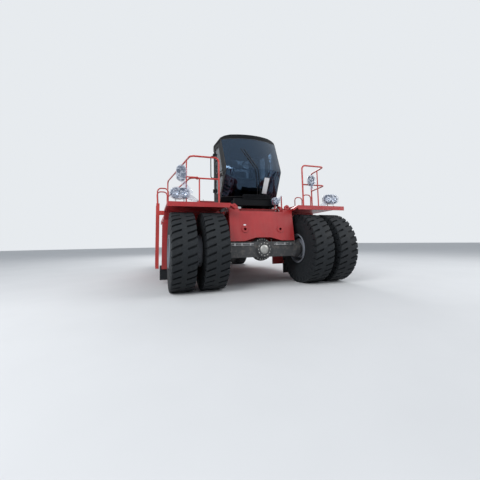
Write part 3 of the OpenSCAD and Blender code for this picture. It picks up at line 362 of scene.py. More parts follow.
class Shape:
    """The points and faces of one piece, to which the forms below are added."""

    def __init__(self):
        self.points = []
        self.faces = []

    def add(self, points, faces):
        base = len(self.points)
        self.points += [tuple(p) for p in points]
        self.faces += [tuple(base + i for i in face) for face in faces]

    def box(self, first, second):
        """A block between two opposite corners, given in any order."""
        spans = [sorted(pair) for pair in zip(first, second)]
        corners = [(x, y, z) for z in spans[2] for y in spans[1] for x in spans[0]]
        faces = [(0, 2, 3, 1), (4, 5, 7, 6), (0, 1, 5, 4), (2, 6, 7, 3), (0, 4, 6, 2), (1, 3, 7, 5)]
        self.add(corners, faces)

    def loft(self, rings, closed=False):
        """Joins rings of points, each as long as the next, and fills the ends unless they close."""
        sides, rows = len(rings[0]), len(rings)
        faces = []
        for r in range(rows if closed else rows - 1):
            this, other = r * sides, (r + 1) % rows * sides
            for i in range(sides):
                k = (i + 1) % sides
                faces.append((this + i, this + k, other + k, other + i))
        if not closed:
            faces += [tuple(reversed(range(sides))), tuple(range((rows - 1) * sides, rows * sides))]
        self.add([p for ring in rings for p in ring], faces)

    def turned(self, centre, axis, profile, sides=24, closed=False):
        """A form turned about axis through centre. Profile lists (distance along the axis, radius)."""
        axis = Vector(axis).normalized()
        first = axis.orthogonal().normalized()
        second = axis.cross(first)
        angles = [math.tau * i / sides for i in range(sides)]
        turn = [first * math.cos(a) + second * math.sin(a) for a in angles]
        self.loft([[Vector(centre) + axis * along + t * r for t in turn] for along, r in profile], closed)

    def hoop(self, centre, axis, profile, sides):
        """A turned ring with a hole, whose profile closes on itself."""
        self.turned(centre, axis, profile, sides, True)

    def band(self, centre, axis, inner, outer, length, sides):
        """A plain ring that starts at centre."""
        self.hoop(centre, axis, [(0, inner), (0, outer), (length, outer), (length, inner)], sides)

    def rod(self, start, end, radius, sides=16):
        start, end = Vector(start), Vector(end)
        self.turned(start, end - start, [(0, radius), ((end - start).length, radius)], sides)

    def tube(self, points, radius, sides=12, bend=0.0):
        """A tube along points, with its corners rounded when bend is given. Its radius may be a function."""
        way = rounded_way([Vector(p) for p in points], bend) if bend else [Vector(p) for p in points]
        last = len(way) - 1
        turn = [math.tau * k / sides for k in range(sides)]
        rings = []
        normal = (way[1] - way[0]).orthogonal().normalized()
        for i, point in enumerate(way):
            ahead = (way[min(i + 1, last)] - way[max(i - 1, 0)]).normalized()
            normal = (normal - ahead * normal.dot(ahead)).normalized()
            other = ahead.cross(normal)
            r = radius(i / last) if callable(radius) else radius
            rings.append([point + (normal * math.cos(a) + other * math.sin(a)) * r for a in turn])
        self.loft(rings)

    def prism(self, outline, low, high, place):
        """A flat outline made thick from low to high, where place gives the point for (u, v, w)."""
        self.loft([[place(u, v, w) for u, v in outline] for w in (low, high)])

    def plate(self, centre, half, radius, low, high, place, steps=8):
        """A plate with round corners."""
        self.prism(rounded_outline(centre, half, radius, steps), low, high, place)

    def rounded_box(self, centre, half, radius, rows, place, steps=8):
        """Round-cornered outlines joined up. Rows lists (place along w, how far the outline is drawn in)."""
        rings = []
        for w, inset in rows:
            size = (half[0] - inset, half[1] - inset)
            corner = radius(size) if callable(radius) else radius
            rings.append([place(u, v, w) for u, v in rounded_outline(centre, size, corner, steps)])
        self.loft(rings)

    def skin(self, rows):
        """An open surface through rows of points, with no thickness."""
        wide = len(rows[0])
        cells = [r * wide + i for r in range(len(rows) - 1) for i in range(wide - 1)]
        self.add([p for row in rows for p in row], [(c, c + 1, c + 1 + wide, c + wide) for c in cells])

    def ring_plate(self, outer, hole, low, high, place):
        """A flat plate of the outline outer with a hole in it, both given as as many points (u, v)."""
        edges = ((outer, low), (outer, high), (hole, high), (hole, low))
        self.loft([[place(u, v, w) for u, v in line] for line, w in edges], closed=True)

    def weld(self, points, radius=0.006):
        """A weld bead along points, with the ripples of its passes."""
        way = []
        for start, end in zip(points, points[1:]):
            start, end = Vector(start), Vector(end)
            steps = max(2, int((end - start).length / 0.005))
            way += [start.lerp(end, i / steps) for i in range(steps)]
        way.append(Vector(points[-1]))
        self.tube(way, lambda t: radius * (1 + 0.22 * abs(math.sin(t * len(way) * 1.05))), 6)

    def bolt(self, at, axis, radius, height):
        """A hexagon head on a washer."""
        self.turned(at, axis, [(0, radius * 1.25), (height * 0.18, radius * 1.25)], 18)
        head = [(height * 0.18, radius), (height * 0.85, radius), (height, radius * 0.8)]
        self.turned(at, axis, head, 6)

    def bolts(self, places, axis, radius, height):
        for place in places:
            self.bolt(place, axis, radius, height)

    def bolt_circle(self, centre, axis, circle, count, radius, height, start=0.0):
        self.bolts(circle_points(centre, axis, circle, count, start), axis, radius, height)


def rounded_way(points, bend, steps=6):
    way = [points[0]]
    for before, corner, after in zip(points, points[1:], points[2:]):
        reach = min(bend, (corner - before).length * 0.45, (after - corner).length * 0.45)
        start = corner + (before - corner).normalized() * reach
        end = corner + (after - corner).normalized() * reach
        for i in range(steps + 1):
            t = i / steps
            way.append(start * (1 - t) ** 2 + corner * 2 * t * (1 - t) + end * t * t)
    return way + [points[-1]]


def piece(name, shape, finish, body="chassis", slot=None, edge=0.0, sharp=35, instead_of=None):
    """Makes one object of a shape, gives it its finish and lets it ride on a CAD body."""
    mesh = bpy.data.meshes.new(name)
    mesh.from_pydata(shape.points, [], shape.faces)
    mesh.validate()
    mesh.materials.append(finish)
    thing = bpy.data.objects.new(name, mesh)
    bpy.context.scene.collection.objects.link(thing)
    mesh.shade_smooth()
    mesh.set_sharp_from_angle(angle=math.radians(sharp))
    if edge:
        bevel = thing.modifiers.new("edges", "BEVEL")
        bevel.width, bevel.segments, bevel.limit_method = edge, 2, "ANGLE"
        bevel.harden_normals = True
    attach(thing, body)
    if instead_of:
        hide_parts(instead_of)
    return thing


def pieces(*rows, **values):
    """Makes a piece of each row, which gives its name, shape and finish."""
    for row in rows:
        piece(*row, **values)


def rounded_outline(centre, half, radius, steps=8):
    """A rectangle with round corners, as points that run round it."""
    points = []
    for quarter in range(4):
        across = (1, -1, -1, 1)[quarter] * (half[0] - radius)
        up = (1, 1, -1, -1)[quarter] * (half[1] - radius)
        for i in range(steps + 1):
            a = math.pi / 2 * (quarter + i / steps)
            points.append((centre[0] + across + radius * math.cos(a), centre[1] + up + radius * math.sin(a)))
    return points


def circle_points(centre, axis, radius, count, start=0.0):
    axis = Vector(axis).normalized()
    first = UP if abs(axis.z) < 0.9 else AHEAD
    second = axis.cross(first)
    turn = [start + math.tau * i / count for i in range(count)]
    return [Vector(centre) + (first * math.cos(a) + second * math.sin(a)) * radius for a in turn]


def closed_loop(points):
    return points + [points[0]]


def at(x, y, z):
    """A place whose X is counted from the front axle."""
    return Vector((AXLE_X + x, y, z))


def around(centre):
    """Turns (u, v, w) into the place that far from centre along X, Y and Z."""
    return lambda u, v, w: centre + Vector((u, v, w))


def on_side(sign, y):
    """Turns (u, v, w) into a place on a side wall at y: along X, up and outward."""
    return lambda u, v, w: at(u, sign * (y + w), v)


def facing(x, sign=1):
    """Turns (u, v, w) into a place on a wall across the machine at x: across, up and ahead."""
    return lambda u, v, w: at(x + w, sign * u, v)


# Tyres: grooves run in from both shoulders and leave a plain band round the middle

LUGS = 34
GROOVE_DEPTH = 0.040
GROOVE_FOOT_R = 0.68
GROOVE_FADE = 0.05
GROOVE_RISE = 0.36
STAGGER = 0.24
TREAD_HALF = 0.2295
PLAIN_BAND = 0.18
WALL_BULGE = 1.067
# Each row gives a tyre's radius and its distance from the tyre's middle plane, as a share of TREAD_HALF
SIDE_ROWS = [
    (0.3190, 0.86), (0.3330, 0.93), (0.3480, 0.965), (0.3600, 0.955), (0.3720, 0.985), (0.4300, 1.045),
    (0.5000, 1.063), (0.5600, 1.067), (0.5660, 1.067), (0.5720, 1.057), (0.6200, 1.055), (0.6600, 1.050),
    (0.7000, 1.035), (0.7350, 1.020),
]
# Each column gives its share of the pitch from lug to lug, and 1 where it lies in the groove
GROOVE_COLUMNS = [(0.00, 0.0), (0.035, 1.0), (0.265, 1.0), (0.30, 0.0)]
LUG_COLUMNS = [(0.312, 0.0), (0.48, 0.0), (0.65, 0.0), (0.82, 0.0), (0.988, 0.0)]


def clamp(value, low=0.0, high=1.0):
    return min(max(value, low), high)


def wall_share(radius):
    """How much of a groove's depth is left at a radius on the side wall."""
    return clamp((radius - GROOVE_FOOT_R) / GROOVE_FADE)


def groove_depth(across, radius):
    """How deep a groove is at a radius and at a place across the tread, which runs from -1 to 1."""
    return GROOVE_DEPTH * clamp((abs(across) - PLAIN_BAND - 0.02) / GROOVE_FADE) * wall_share(radius)


def tyre_rows():
    """Rows from one bead to the other, as (radius, distance from the middle plane)."""
    tread = [(TYRE_R - 0.028, 1.008), (TYRE_R - 0.010, 0.998), (TYRE_R - 0.002, 0.975)]
    shares = (0.93, 0.75, 0.55, 0.35, PLAIN_BAND + 0.07, PLAIN_BAND + 0.02, PLAIN_BAND, 0.08)
    tread += [(TYRE_R, share) for share in shares]
    half = [(r, share * TREAD_HALF) for r, share in SIDE_ROWS + tread]
    return [(r, -y) for r, y in half] + [(TYRE_R, 0.0)] + [(r, y) for r, y in reversed(half)]


def add_tyre(shape, centre):
    columns = [(lug + share, deep) for lug in range(LUGS) for share, deep in GROOVE_COLUMNS + LUG_COLUMNS]
    pitch = math.tau / LUGS
    rings = []
    for radius, y in tyre_rows():
        across = y / TREAD_HALF
        slant = GROOVE_RISE * clamp(y, -TREAD_HALF, TREAD_HALF) / TYRE_R
        steep = 0.10 * math.copysign(max(abs(across) - 0.72, 0) ** 1.3, across)
        side = clamp(across / PLAIN_BAND, -1, 1) * STAGGER * pitch / 2
        wall = wall_share(radius) * (radius < TYRE_R - 0.005)
        ring = []
        for turn, deep in columns:
            angle = turn * pitch + slant + steep + side
            r = radius - deep * groove_depth(across, radius)
            out = y * (1 - 0.10 * deep * wall)
            ring.append(centre + Vector((r * math.cos(angle), out, r * math.sin(angle))))
        rings.append(ring)
    shape.loft(rings, closed=True)


def make_tyres():
    half_width = TREAD_HALF * WALL_BULGE
    for side, _ in NAMED_SIDES:
        front, rear = f"front_tyres_{side}", f"rear_tyre_{side}"
        low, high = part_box(front)
        twin, single = Shape(), Shape()
        for y in (low.y + half_width, high.y - half_width):
            add_tyre(twin, Vector((AXLE_X, y, AXLE_Z)))
        add_tyre(single, middle(rear))
        piece(f"tyres_front_{side}", twin, TYRE, f"{side}_front_wheels", sharp=28, instead_of=front)
        piece(f"tyre_rear_{side}", single, TYRE, f"{side}_rear_wheel", sharp=28, instead_of=rear)


make_tyres()


# Lamps and mirrors, and the film that they are wrapped in for the road

DECK_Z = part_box("fenders")[1].z
RAIL_X = 0.232
LAMP_Y, LAMP_Z = 1.845, DECK_Z + 0.195
LAMP_HALF = (0.185, 0.108)
LAMP_X = (0.140, 0.205)
WORK_LAMP = (-0.110, 0.445, 1.955)
TAIL_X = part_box("counterweight")[0].x - AXLE_X
# The middle of each mirror across and up, and half its width and height
MIRRORS = {"right": (-1.83, 2.40, 0.090, 0.150), "left": (1.24, 2.42, 0.080, 0.110)}


def make_headlamps():
    housings, bowls, lenses, stalks = Shape(), Shape(), Shape(), Shape()
    back, front = LAMP_X
    steps = [(back, 0.030), (back + 0.008, 0.006), (back + 0.03, 0), (front - 0.006, 0), (front, 0.005),
             (front - 0.001, 0.011), (front - 0.038, 0.014), (front - 0.040, 0.030)]
    for sign in SIDES:
        place = facing(0, sign)
        housings.rounded_box((LAMP_Y, LAMP_Z), LAMP_HALF, lambda half: half[1] - 0.001, steps, place, 10)
        for y in (LAMP_Y - 0.085, LAMP_Y + 0.085):
            centre, foot = place(y, LAMP_Z, 0.162), place(y, DECK_Z, 0.172)
            bowls.turned(centre, AHEAD, [
                (0.004, 0.0), (0.006, 0.020), (0.016, 0.045), (0.036, 0.066), (0.040, 0.069), (0.040, 0.074),
                (0.034, 0.075), (0.004, 0.052), (0.001, 0.040)], 36)
            bowls.turned(centre, AHEAD, [(0.006, 0.009), (0.026, 0.009), (0.030, 0.004), (0.031, 0.0)], 16)
            lenses.turned(centre, AHEAD, [
                (0.036, 0.070), (0.044, 0.075), (0.050, 0.071), (0.056, 0.050), (0.060, 0.020), (0.061, 0.0),
                (0.058, 0.0), (0.053, 0.048), (0.046, 0.067), (0.038, 0.066)], 40)
            stalks.rod(foot + UP * 0.006, foot + UP * 0.115, 0.012)
            stalks.turned(foot, UP, [(0, 0.030), (0.006, 0.030), (0.008, 0.026)], 24)
            stalks.bolt(foot + UP * 0.006, UP, 0.016, 0.012)
    piece("headlamp_housings", housings, PLASTIC, slot="lamp_lens", sharp=50, instead_of="lamps")
    piece("headlamp_bowls", bowls, CHROME, sharp=50, instead_of="lamps")
    piece("headlamp_lenses", lenses, LENS, sharp=50, instead_of="lamps")
    piece("headlamp_stalks", stalks, STEEL, instead_of="lamps")


def make_work_lamp():
    body, bowl, lens, bracket = Shape(), Shape(), Shape(), Shape()
    near = around(at(*WORK_LAMP))
    body.turned(near(0, 0, 0), AHEAD, [
        (0, 0.038), (0.004, 0.044), (0.030, 0.066), (0.070, 0.070), (0.084, 0.069), (0.088, 0.064),
        (0.080, 0.062), (0.034, 0.058), (0.006, 0.030)], 36)
    fin = [(0, 0.064), (0.001, 0.067), (0.003, 0.067), (0.004, 0.064)]
    for i in range(5):
        body.hoop(near(0.008 + i * 0.006, 0, 0), AHEAD, fin, 36)
    bowl.turned(near(0.05, 0, 0), AHEAD, [
        (0, 0), (0.002, 0.020), (0.026, 0.059), (0.028, 0.060), (0.022, 0.060), (-0.004, 0.020)], 32)
    lens.turned(near(0.078, 0, 0), AHEAD, [
        (0, 0.062), (0.008, 0.060), (0.013, 0.030), (0.014, 0.0), (0.010, 0.0), (0.004, 0.055)], 36)
    bracket.tube([near(0.008, 0, -0.195), near(0.008, 0, -0.085)], 0.016, 16)
    bracket.box(near(-0.040, -0.050, -0.210), near(0.016, 0.050, -0.196))
    bracket.box(near(0.030, -0.076, -0.089), near(0.062, 0.076, -0.084))
    ear = [(-0.014, 0.0), (0.014, 0.0), (0.016, 0.085), (0.010, 0.098), (-0.010, 0.098), (-0.016, 0.085)]
    for sign in SIDES:
        bracket.prism(ear, 0.071, 0.076, lambda u, v, w: near(0.046 + u, sign * w, v - 0.085))
        bracket.bolt(near(0.046, sign * 0.076, 0), (0, sign, 0), 0.010, 0.009)
        bracket.bolt(near(-0.012, sign * 0.036, -0.196), UP, 0.008, 0.007)
    piece("work_lamp_body", body, PLASTIC, sharp=45, instead_of="lamps")
    pieces(("work_lamp_bowl", bowl, CHROME), ("work_lamp_lens", lens, LENS), instead_of="lamps")
    piece("work_lamp_bracket", bracket, RED, edge=0.001, instead_of="lamps")


def make_tail_lamps():
    bases, reds, ambers = Shape(), Shape(), Shape()
    steps = [(0.112, 0.0), (0.068, 0.0), (0.064, 0.003), (0.062, 0.009)]
    for sign in SIDES:
        place = facing(TAIL_X, sign)
        for shape, y, half_y in ((reds, 1.235, 0.049), (ambers, 1.311, 0.023)):
            shape.rounded_box((y, 1.9735), (half_y, 0.0205), 0.009, steps, place, 4)
        bases.plate((1.260, 1.9725), (0.080, 0.0225), 0.010, 0.075, 0.130, place, 4)
        bases.bolts([place(y, 1.994, 0.102) for y in (1.194, 1.326)], UP, 0.005, 0.004)
    piece("tail_lamp_bases", bases, PLASTIC, edge=0.001, instead_of="lamps")
    pieces(("tail_lamps_red", reds, RED_LENS), ("tail_lamps_amber", ambers, AMBER_LENS), instead_of="lamps")


def make_mirrors():
    shells, faces, arms = Shape(), Shape(), Shape()
    steps = [(0.040, 0.004), (0.042, 0.0), (0.058, 0.001), (0.070, 0.008), (0.079, 0.024), (0.083, 0.050)]
    place = facing(RAIL_X)
    for y, z, half_y, half_z in MIRRORS.values():
        shells.rounded_box((y, z), (half_y, half_z), lambda half: min(0.062, half[0] * 0.69), steps, place)
        faces.plate((y, z), (half_y - 0.010, half_z - 0.010), 0.050, 0.0385, 0.0415, place)
    rail_z = DECK_Z + 0.520
    arms.tube([place(-1.486, rail_z, 0.060), place(-1.760, rail_z, 0.060)], 0.014, 16)
    for y in (-1.500, 1.240):
        arms.rod(place(y, rail_z, 0.018), place(y, rail_z, 0.064), 0.012)
        arms.band(place(y - 0.022, rail_z, 0), (0, 1, 0), 0.0195, 0.027, 0.044, 24)
        arms.bolts([place(y, rail_z + lift, 0.012) for lift in (-0.030, 0.030)], AHEAD, 0.007, 0.008)
    piece("mirror_shells", shells, PLASTIC, sharp=50, instead_of="mirrors")
    piece("mirror_faces", faces, MIRROR, instead_of="mirrors")
    piece("mirror_arms", arms, RED_TUBE, edge=0.0008, instead_of="mirrors")


make_headlamps()
make_work_lamp()
make_tail_lamps()
make_mirrors()

BAG_ROWS, BAG_SIDES = 16, 84
TAIL_ROWS, TAIL_COLUMNS, TAIL_FOLDS = 34, 26, 3.2


def creased(point, spread, seed):
    """How far film stands off at a place: long folds crossed by small ones."""
    p = Vector(point) * 6 + Vector((seed * 3.1, seed * 1.7, seed * 0.9))
    folds = 1 - abs(noise.noise(Vector((p.x, p.y * 1.4, p.z * 0.8)))) * 2
    small = 1 - abs(noise.noise(p * 2.2)) * 2
    return spread * (0.2 + 0.8 * folds * folds + 0.2 * small)


def bag_row(t, back, front):
    """The share of its full width that a bag of film has at t, from 0 in front to 1 behind, and its X."""
    depth = front - back
    if t < 0.45:
        return math.sin(t / 0.45 * math.pi / 2) ** 0.75, front - 0.10 * depth * (t / 0.45) ** 4
    if t < 0.75:
        return 1.0, front - depth * (0.10 + 0.75 * (t - 0.45) / 0.30)
    return 1.0 - 0.82 * (t - 0.75) / 0.25, back - depth * 0.05 * (t - 0.75) / 0.25


def film_bag(shape, centre, half, ends, round_off, seed):
    """Film drawn round a lamp or mirror from the front and gathered behind. Ends gives its X, back first."""
    power = 2 / round_off
    surface = []
    for r in range(BAG_ROWS + 1):
        t = r / BAG_ROWS
        reach, x = bag_row(t, *ends)
        reach = max(reach, 0.02)
        ring = []
        for i in range(BAG_SIDES + 1):
            a = math.tau * i / BAG_SIDES
            c, s = math.cos(a), math.sin(a)
            y = centre[0] + half[0] * reach * math.copysign(abs(c) ** power, c)
            z = centre[1] + half[1] * reach * math.copysign(abs(s) ** power, s)
            off = creased((x, y, z), 0.011, seed) + 0.004 * math.sin(a * 11 + 5 * t + seed) * t
            ring.append(at(x + off * (0.7 if t < 0.5 else 0.15), y + off * c * t, z + off * s * t))
        ring[-1] = ring[0]
        surface.append(ring)
    shape.skin(surface)


def film_tail(shape, points, widths, seed):
    """A loose end of film: a strip along points whose folds deepen where it narrows."""
    way = rounded_way(points, 0.12, 8)
    surface = []
    for r in range(TAIL_ROWS + 1):
        t = r / TAIL_ROWS
        place = t * (len(way) - 1)
        k = min(int(place), len(way) - 2)
        point = way[k].lerp(way[k + 1], place - k)
        ahead = (way[k + 1] - way[k]).normalized()
        sideways = ahead.cross(Vector((1, 0.15, 0.1))).normalized()
        proud = ahead.cross(sideways)
        wide = widths[0] + (widths[1] - widths[0]) * t ** 1.3
        row = []
        for i in range(TAIL_COLUMNS + 1):
            u = i / TAIL_COLUMNS * 2 - 1
            ripple = math.sin(u * math.pi * TAIL_FOLDS + seed + 2.2 * t) * (0.014 + 0.012 * (1 - t))
            ripple += 0.010 * noise.noise(Vector((u * 2.2, t * 5.0, seed)))
            ragged = 0.02 * noise.noise(Vector((u * 3, seed * 2.0, 1.3))) * t
            row.append(point + sideways * (u * wide * 0.5) + proud * ripple + ahead * ragged)
        surface.append(row)
    shape.skin(surface)


def sheet_piece(name, shape, finish, body, width=None):
    """One open sheet, made as a piece. A flat width is worked out from its own area, square unless the width
    is given, but nothing uses it.
    """
    thing = piece(name, shape, finish, body, sharp=180)
    area = sum(face.area for face in thing.data.polygons)
    width = width or math.sqrt(area)


def wrap(name, bag, tail):
    """A piece of film: its bag, and its loose end as (points, widths, seed)."""
    shape = Shape()
    film_bag(shape, *bag)
    film_tail(shape, *tail)
    sheet_piece(name, shape, FILM, "chassis")


def make_film():
    half = (LAMP_HALF[0] + 0.014, LAMP_HALF[1] + 0.012)
    tails = {
        "right": ([at(0.20, -1.68, 1.93), at(0.20, -1.58, 1.885), at(0.19, -1.47, 1.835)], (0.13, 0.08)),
        "left": ([at(0.19, 1.70, 1.91), at(0.19, 1.62, 1.86), at(0.18, 1.55, 1.83)], (0.10, 0.07)),
    }
    for name, sign, seed in (("right", -1, 1.0), ("left", 1, 4.0)):
        bag = ((sign * LAMP_Y, LAMP_Z), half, (0.120, 0.236), 2.9, seed)
        wrap(f"headlamp_film_{name}", bag, (*tails[name], seed))
    tails = {
        "right": ([at(0.300, -1.815, 2.29), at(0.295, -1.760, 2.16), at(0.285, -1.690, 2.06),
                   at(0.280, -1.640, 1.97)], (0.09, 0.17)),
        "left": ([at(0.300, 1.240, 2.34), at(0.300, 1.225, 2.25), at(0.295, 1.245, 2.20)], (0.05, 0.12)),
    }
    for name, (y, z, half_y, half_z) in MIRRORS.items():
        ends = (RAIL_X + 0.020, RAIL_X + 0.094)
        bag = ((y, z), (half_y + 0.012, half_z + 0.014), ends, 2.6, len(name) * 1.3)
        wrap(f"mirror_film_{name}", bag, (*tails[name], len(name) * 0.8))
    x, y, z = WORK_LAMP
    near = around(at(x, y, z))
    bag = ((y, z - 0.010), (0.088, 0.092), (x - 0.012, x + 0.108), 2.2, 2.5)
    points = [near(0.07, 0.03, -0.03), near(0.08, 0.09, 0.05), near(0.07, 0.16, 0.12)]
    wrap("work_lamp_film", bag, (points, (0.10, 0.045), 0.7))


make_film()


# The cab: a flush screen with a black border, seals, handles and what the driver uses

BELT_X, BELT_Z = -0.060, 2.720
BULGE_R = 1.5
UPPER_LEAN, LOWER_LEAN = math.radians(23), math.radians(31)
CAB_BACK, ROOF_Z = -1.800, 3.590
CAB_FLOOR = 2.0555
SCREEN_Z = (2.105, 3.580)
CLEAR_Z = (2.215, 3.535)
DOOR_FRONT, KNEE_Z = -0.400, 2.500
PILLAR_LEAN, SILL_LEAN = math.tan(math.radians(21.2)), math.tan(math.radians(29))
WINDOW_REAR = -1.100
WINDOW_Z = (2.760, 3.460)
LOW_WINDOW_Z = (2.230, KNEE_Z, 2.640)


def screen_x(y, z, off=0.0):
    """The cab's front at y and z, and off in front of it."""
    bulge = math.sqrt((BULGE_R + off) ** 2 - y * y) - BULGE_R
    up = z - BELT_Z
    upper = (bulge - up * math.sin(UPPER_LEAN)) / math.cos(UPPER_LEAN)
    lower = (bulge + up * math.sin(LOWER_LEAN)) / math.cos(LOWER_LEAN)
    return BELT_X + min(upper, lower)


def wall_y(x):
    """The outer face of the cab's side wall."""
    return 0.675 + 0.125 * (0.300 - x) / 1.5


def quarter_y(x):
    """The cab's side behind the door, where it draws in towards the rear."""
    return 0.800 - 0.090 * (-1.200 - x) / 0.420


def screen_edge(z):
    """Where the screen meets the side wall."""
    y = 0.70
    for _ in range(4):
        y = wall_y(screen_x(y, z))
    return y


def door_edge(z):
    lean = (z - BELT_Z) * PILLAR_LEAN if z > BELT_Z else max(KNEE_Z - z, 0) * SILL_LEAN
    return DOOR_FRONT - lean


def screen_row(z, edge, off, steps):
    """Points across the screen at z, out to edge on both sides."""
    spots = [edge * i / steps for i in range(-steps, steps + 1)]
    return [at(screen_x(y, z, off), y, z) for y in spots]


def border_point(y, z, share):
    """A place on the screen's border, between its inner edge at y and z and its outer edge."""
    far_z = SCREEN_Z[0] + (SCREEN_Z[1] - SCREEN_Z[0]) * (z - CLEAR_Z[0]) / (CLEAR_Z[1] - CLEAR_Z[0])
    reach = screen_edge(far_z) - 0.010
    far_y = clamp(y * reach / 0.600, -reach, reach)
    y, z = y + (far_y - y) * share, z + (far_z - z) * share
    return at(screen_x(y, z, 0.0012), y, z)


def make_screen():
    heights = [SCREEN_Z[0] + (BELT_Z - SCREEN_Z[0]) * i / 10 for i in range(10)]
    heights += [BELT_Z + (SCREEN_Z[1] - BELT_Z) * i / 12 for i in range(13)]
    sheet, border, seal = Shape(), Shape(), Shape()
    back = [screen_row(z, screen_edge(z) - 0.009, 0.0018, 20) for z in heights]
    front = [screen_row(z, screen_edge(z) - 0.009, 0.0075, 20) for z in heights]
    sheet.skin(front)
    sheet.skin([row[::-1] for row in back])
    sheet.skin([back[0], front[0]])
    sheet.skin([front[-1], back[-1]])
    sheet.skin([[row[0] for row in front], [row[0] for row in back]])
    sheet.skin([[row[-1] for row in back], [row[-1] for row in front]])
    piece("screen_sheet", sheet, SCREEN, "cab", sharp=40, instead_of="windscreen")

    inner = rounded_outline((0, sum(CLEAR_Z) / 2), (0.612, (CLEAR_Z[1] - CLEAR_Z[0]) / 2), 0.070, 10)
    shares = (0.0, 0.25, 0.5, 0.75, 1.0)
    border.skin([closed_loop([border_point(y, z, share) for y, z in inner]) for share in shares])
    piece("screen_border", border, BORDER, "cab", sharp=40)

    for sign in SIDES:
        edges = [(screen_edge(z), z) for z in heights]
        seal.tube([at(screen_x(y, z) + 0.002, sign * (y - 0.003), z) for y, z in edges], 0.0085, 10)
    for z in SCREEN_Z:
        seal.tube([p + AHEAD * 0.002 for p in screen_row(z, screen_edge(z) - 0.004, 0.0, 16)], 0.0085, 10)
    piece("screen_seals", seal, SEAL, "cab")


def make_wipers():
    """Two arms side by side that rest on the middle of the screen, and their blades."""
    arms, blades = Shape(), Shape()
    bends = ((0.108, 2.160, 0.015), (0.100, 2.225, 0.018), (0.020, 2.480, 0.020), (-0.060, 2.700, 0.020),
             (-0.160, 2.920, 0.018))
    out = Vector((math.cos(LOWER_LEAN), 0, -math.sin(LOWER_LEAN)))
    for shift in (0.0, 0.070):
        def glass_point(y, z, off):
            return at(screen_x(y + shift, z, off), y + shift, z)

        pivot = glass_point(0.110, 2.150, 0.003)
        arms.turned(pivot, out, [(0.0, 0.017), (0.012, 0.017), (0.016, 0.014), (0.020, 0.0)], 20)
        arms.tube([glass_point(*place) for place in bends], lambda t: 0.0090 - 0.003 * t, 8, bend=0.06)
        steps = [i / 24 for i in range(25)]
        spine = [glass_point(-0.040 - 0.290 * t, 2.640 + 0.640 * t, 0.0135) for t in steps]
        blades.tube(spine, lambda t: 0.0062 + 0.0045 * math.sin(math.pi * t), 8)
        blades.tube([p - AHEAD * 0.005 for p in spine], 0.0045, 6)
    pieces(("wiper_arms", arms, WIPER), ("wiper_blade", blades, WIPER), body="cab", instead_of="wipers")


def corners(across, up):
    return [(across[0], up[0]), (across[1], up[0]), (across[1], up[1]), (across[0], up[1])]


def seal_round(shape, loop, radius=0.0075):
    """A seal along the corners of an opening, which starts in the middle of a side."""
    start = (loop[0] + loop[-1]) / 2
    shape.tube([start, *loop, start], radius, 8, bend=0.03)


def make_window_seals():
    for side, sign in NAMED_SIDES:
        shape = Shape()
        for heights in (WINDOW_Z, LOW_WINDOW_Z):
            front = [(door_edge(z) - 0.110, z) for z in heights]
            outline = [(WINDOW_REAR, heights[0]), *front, (WINDOW_REAR, heights[-1])]
            seal_round(shape, [at(x, sign * (wall_y(x) - 0.002), z) for x, z in outline])
        piece(f"door_seals_{side}", shape, SEAL, f"{side}_cab_door")
    shape = Shape()
    for sign in SIDES:
        outline = corners((-1.560, -1.260), WINDOW_Z)
        seal_round(shape, [at(x, sign * (quarter_y(x) - 0.002), z) for x, z in outline])
    seal_round(shape, [at(CAB_BACK - 0.002, y, z) for y, z in corners((-0.43, 0.43), WINDOW_Z)], 0.0085)
    piece("rear_window_seals", shape, SEAL, "cab")


def make_door_handles():
    x, z = -0.560, 2.695
    for side, sign in NAMED_SIDES:
        shape, plate = Shape(), Shape()
        place = on_side(sign, wall_y(x))
        plate.plate((x, z), (0.075, 0.032), 0.014, -0.004, 0.006,
                    lambda u, v, w: at(u, sign * (wall_y(u) + w), v), 5)
        grip = ((-0.058, 0.006), (-0.052, 0.040), (0.052, 0.034), (0.058, 0.004))
        shape.tube([place(x + along, z, off) for along, off in grip], 0.0085, 10, bend=0.02)
        lock = [(0, 0.014), (0.006, 0.013), (0.007, 0.005), (0.006, 0.0)]
        shape.turned(place(x + 0.050, z - 0.045, 0.003), (0, sign, 0), lock, 20)
        for lift in (-0.022, 0.022):
            shape.bolt(place(x - 0.064, z + lift, 0.004), (0, sign, 0), 0.005, 0.004)
        piece(f"door_handle_{side}", shape, STEEL, f"{side}_cab_door", sharp=40)
        piece(f"door_handle_plate_{side}", plate, PLASTIC, f"{side}_cab_door", edge=0.0015)


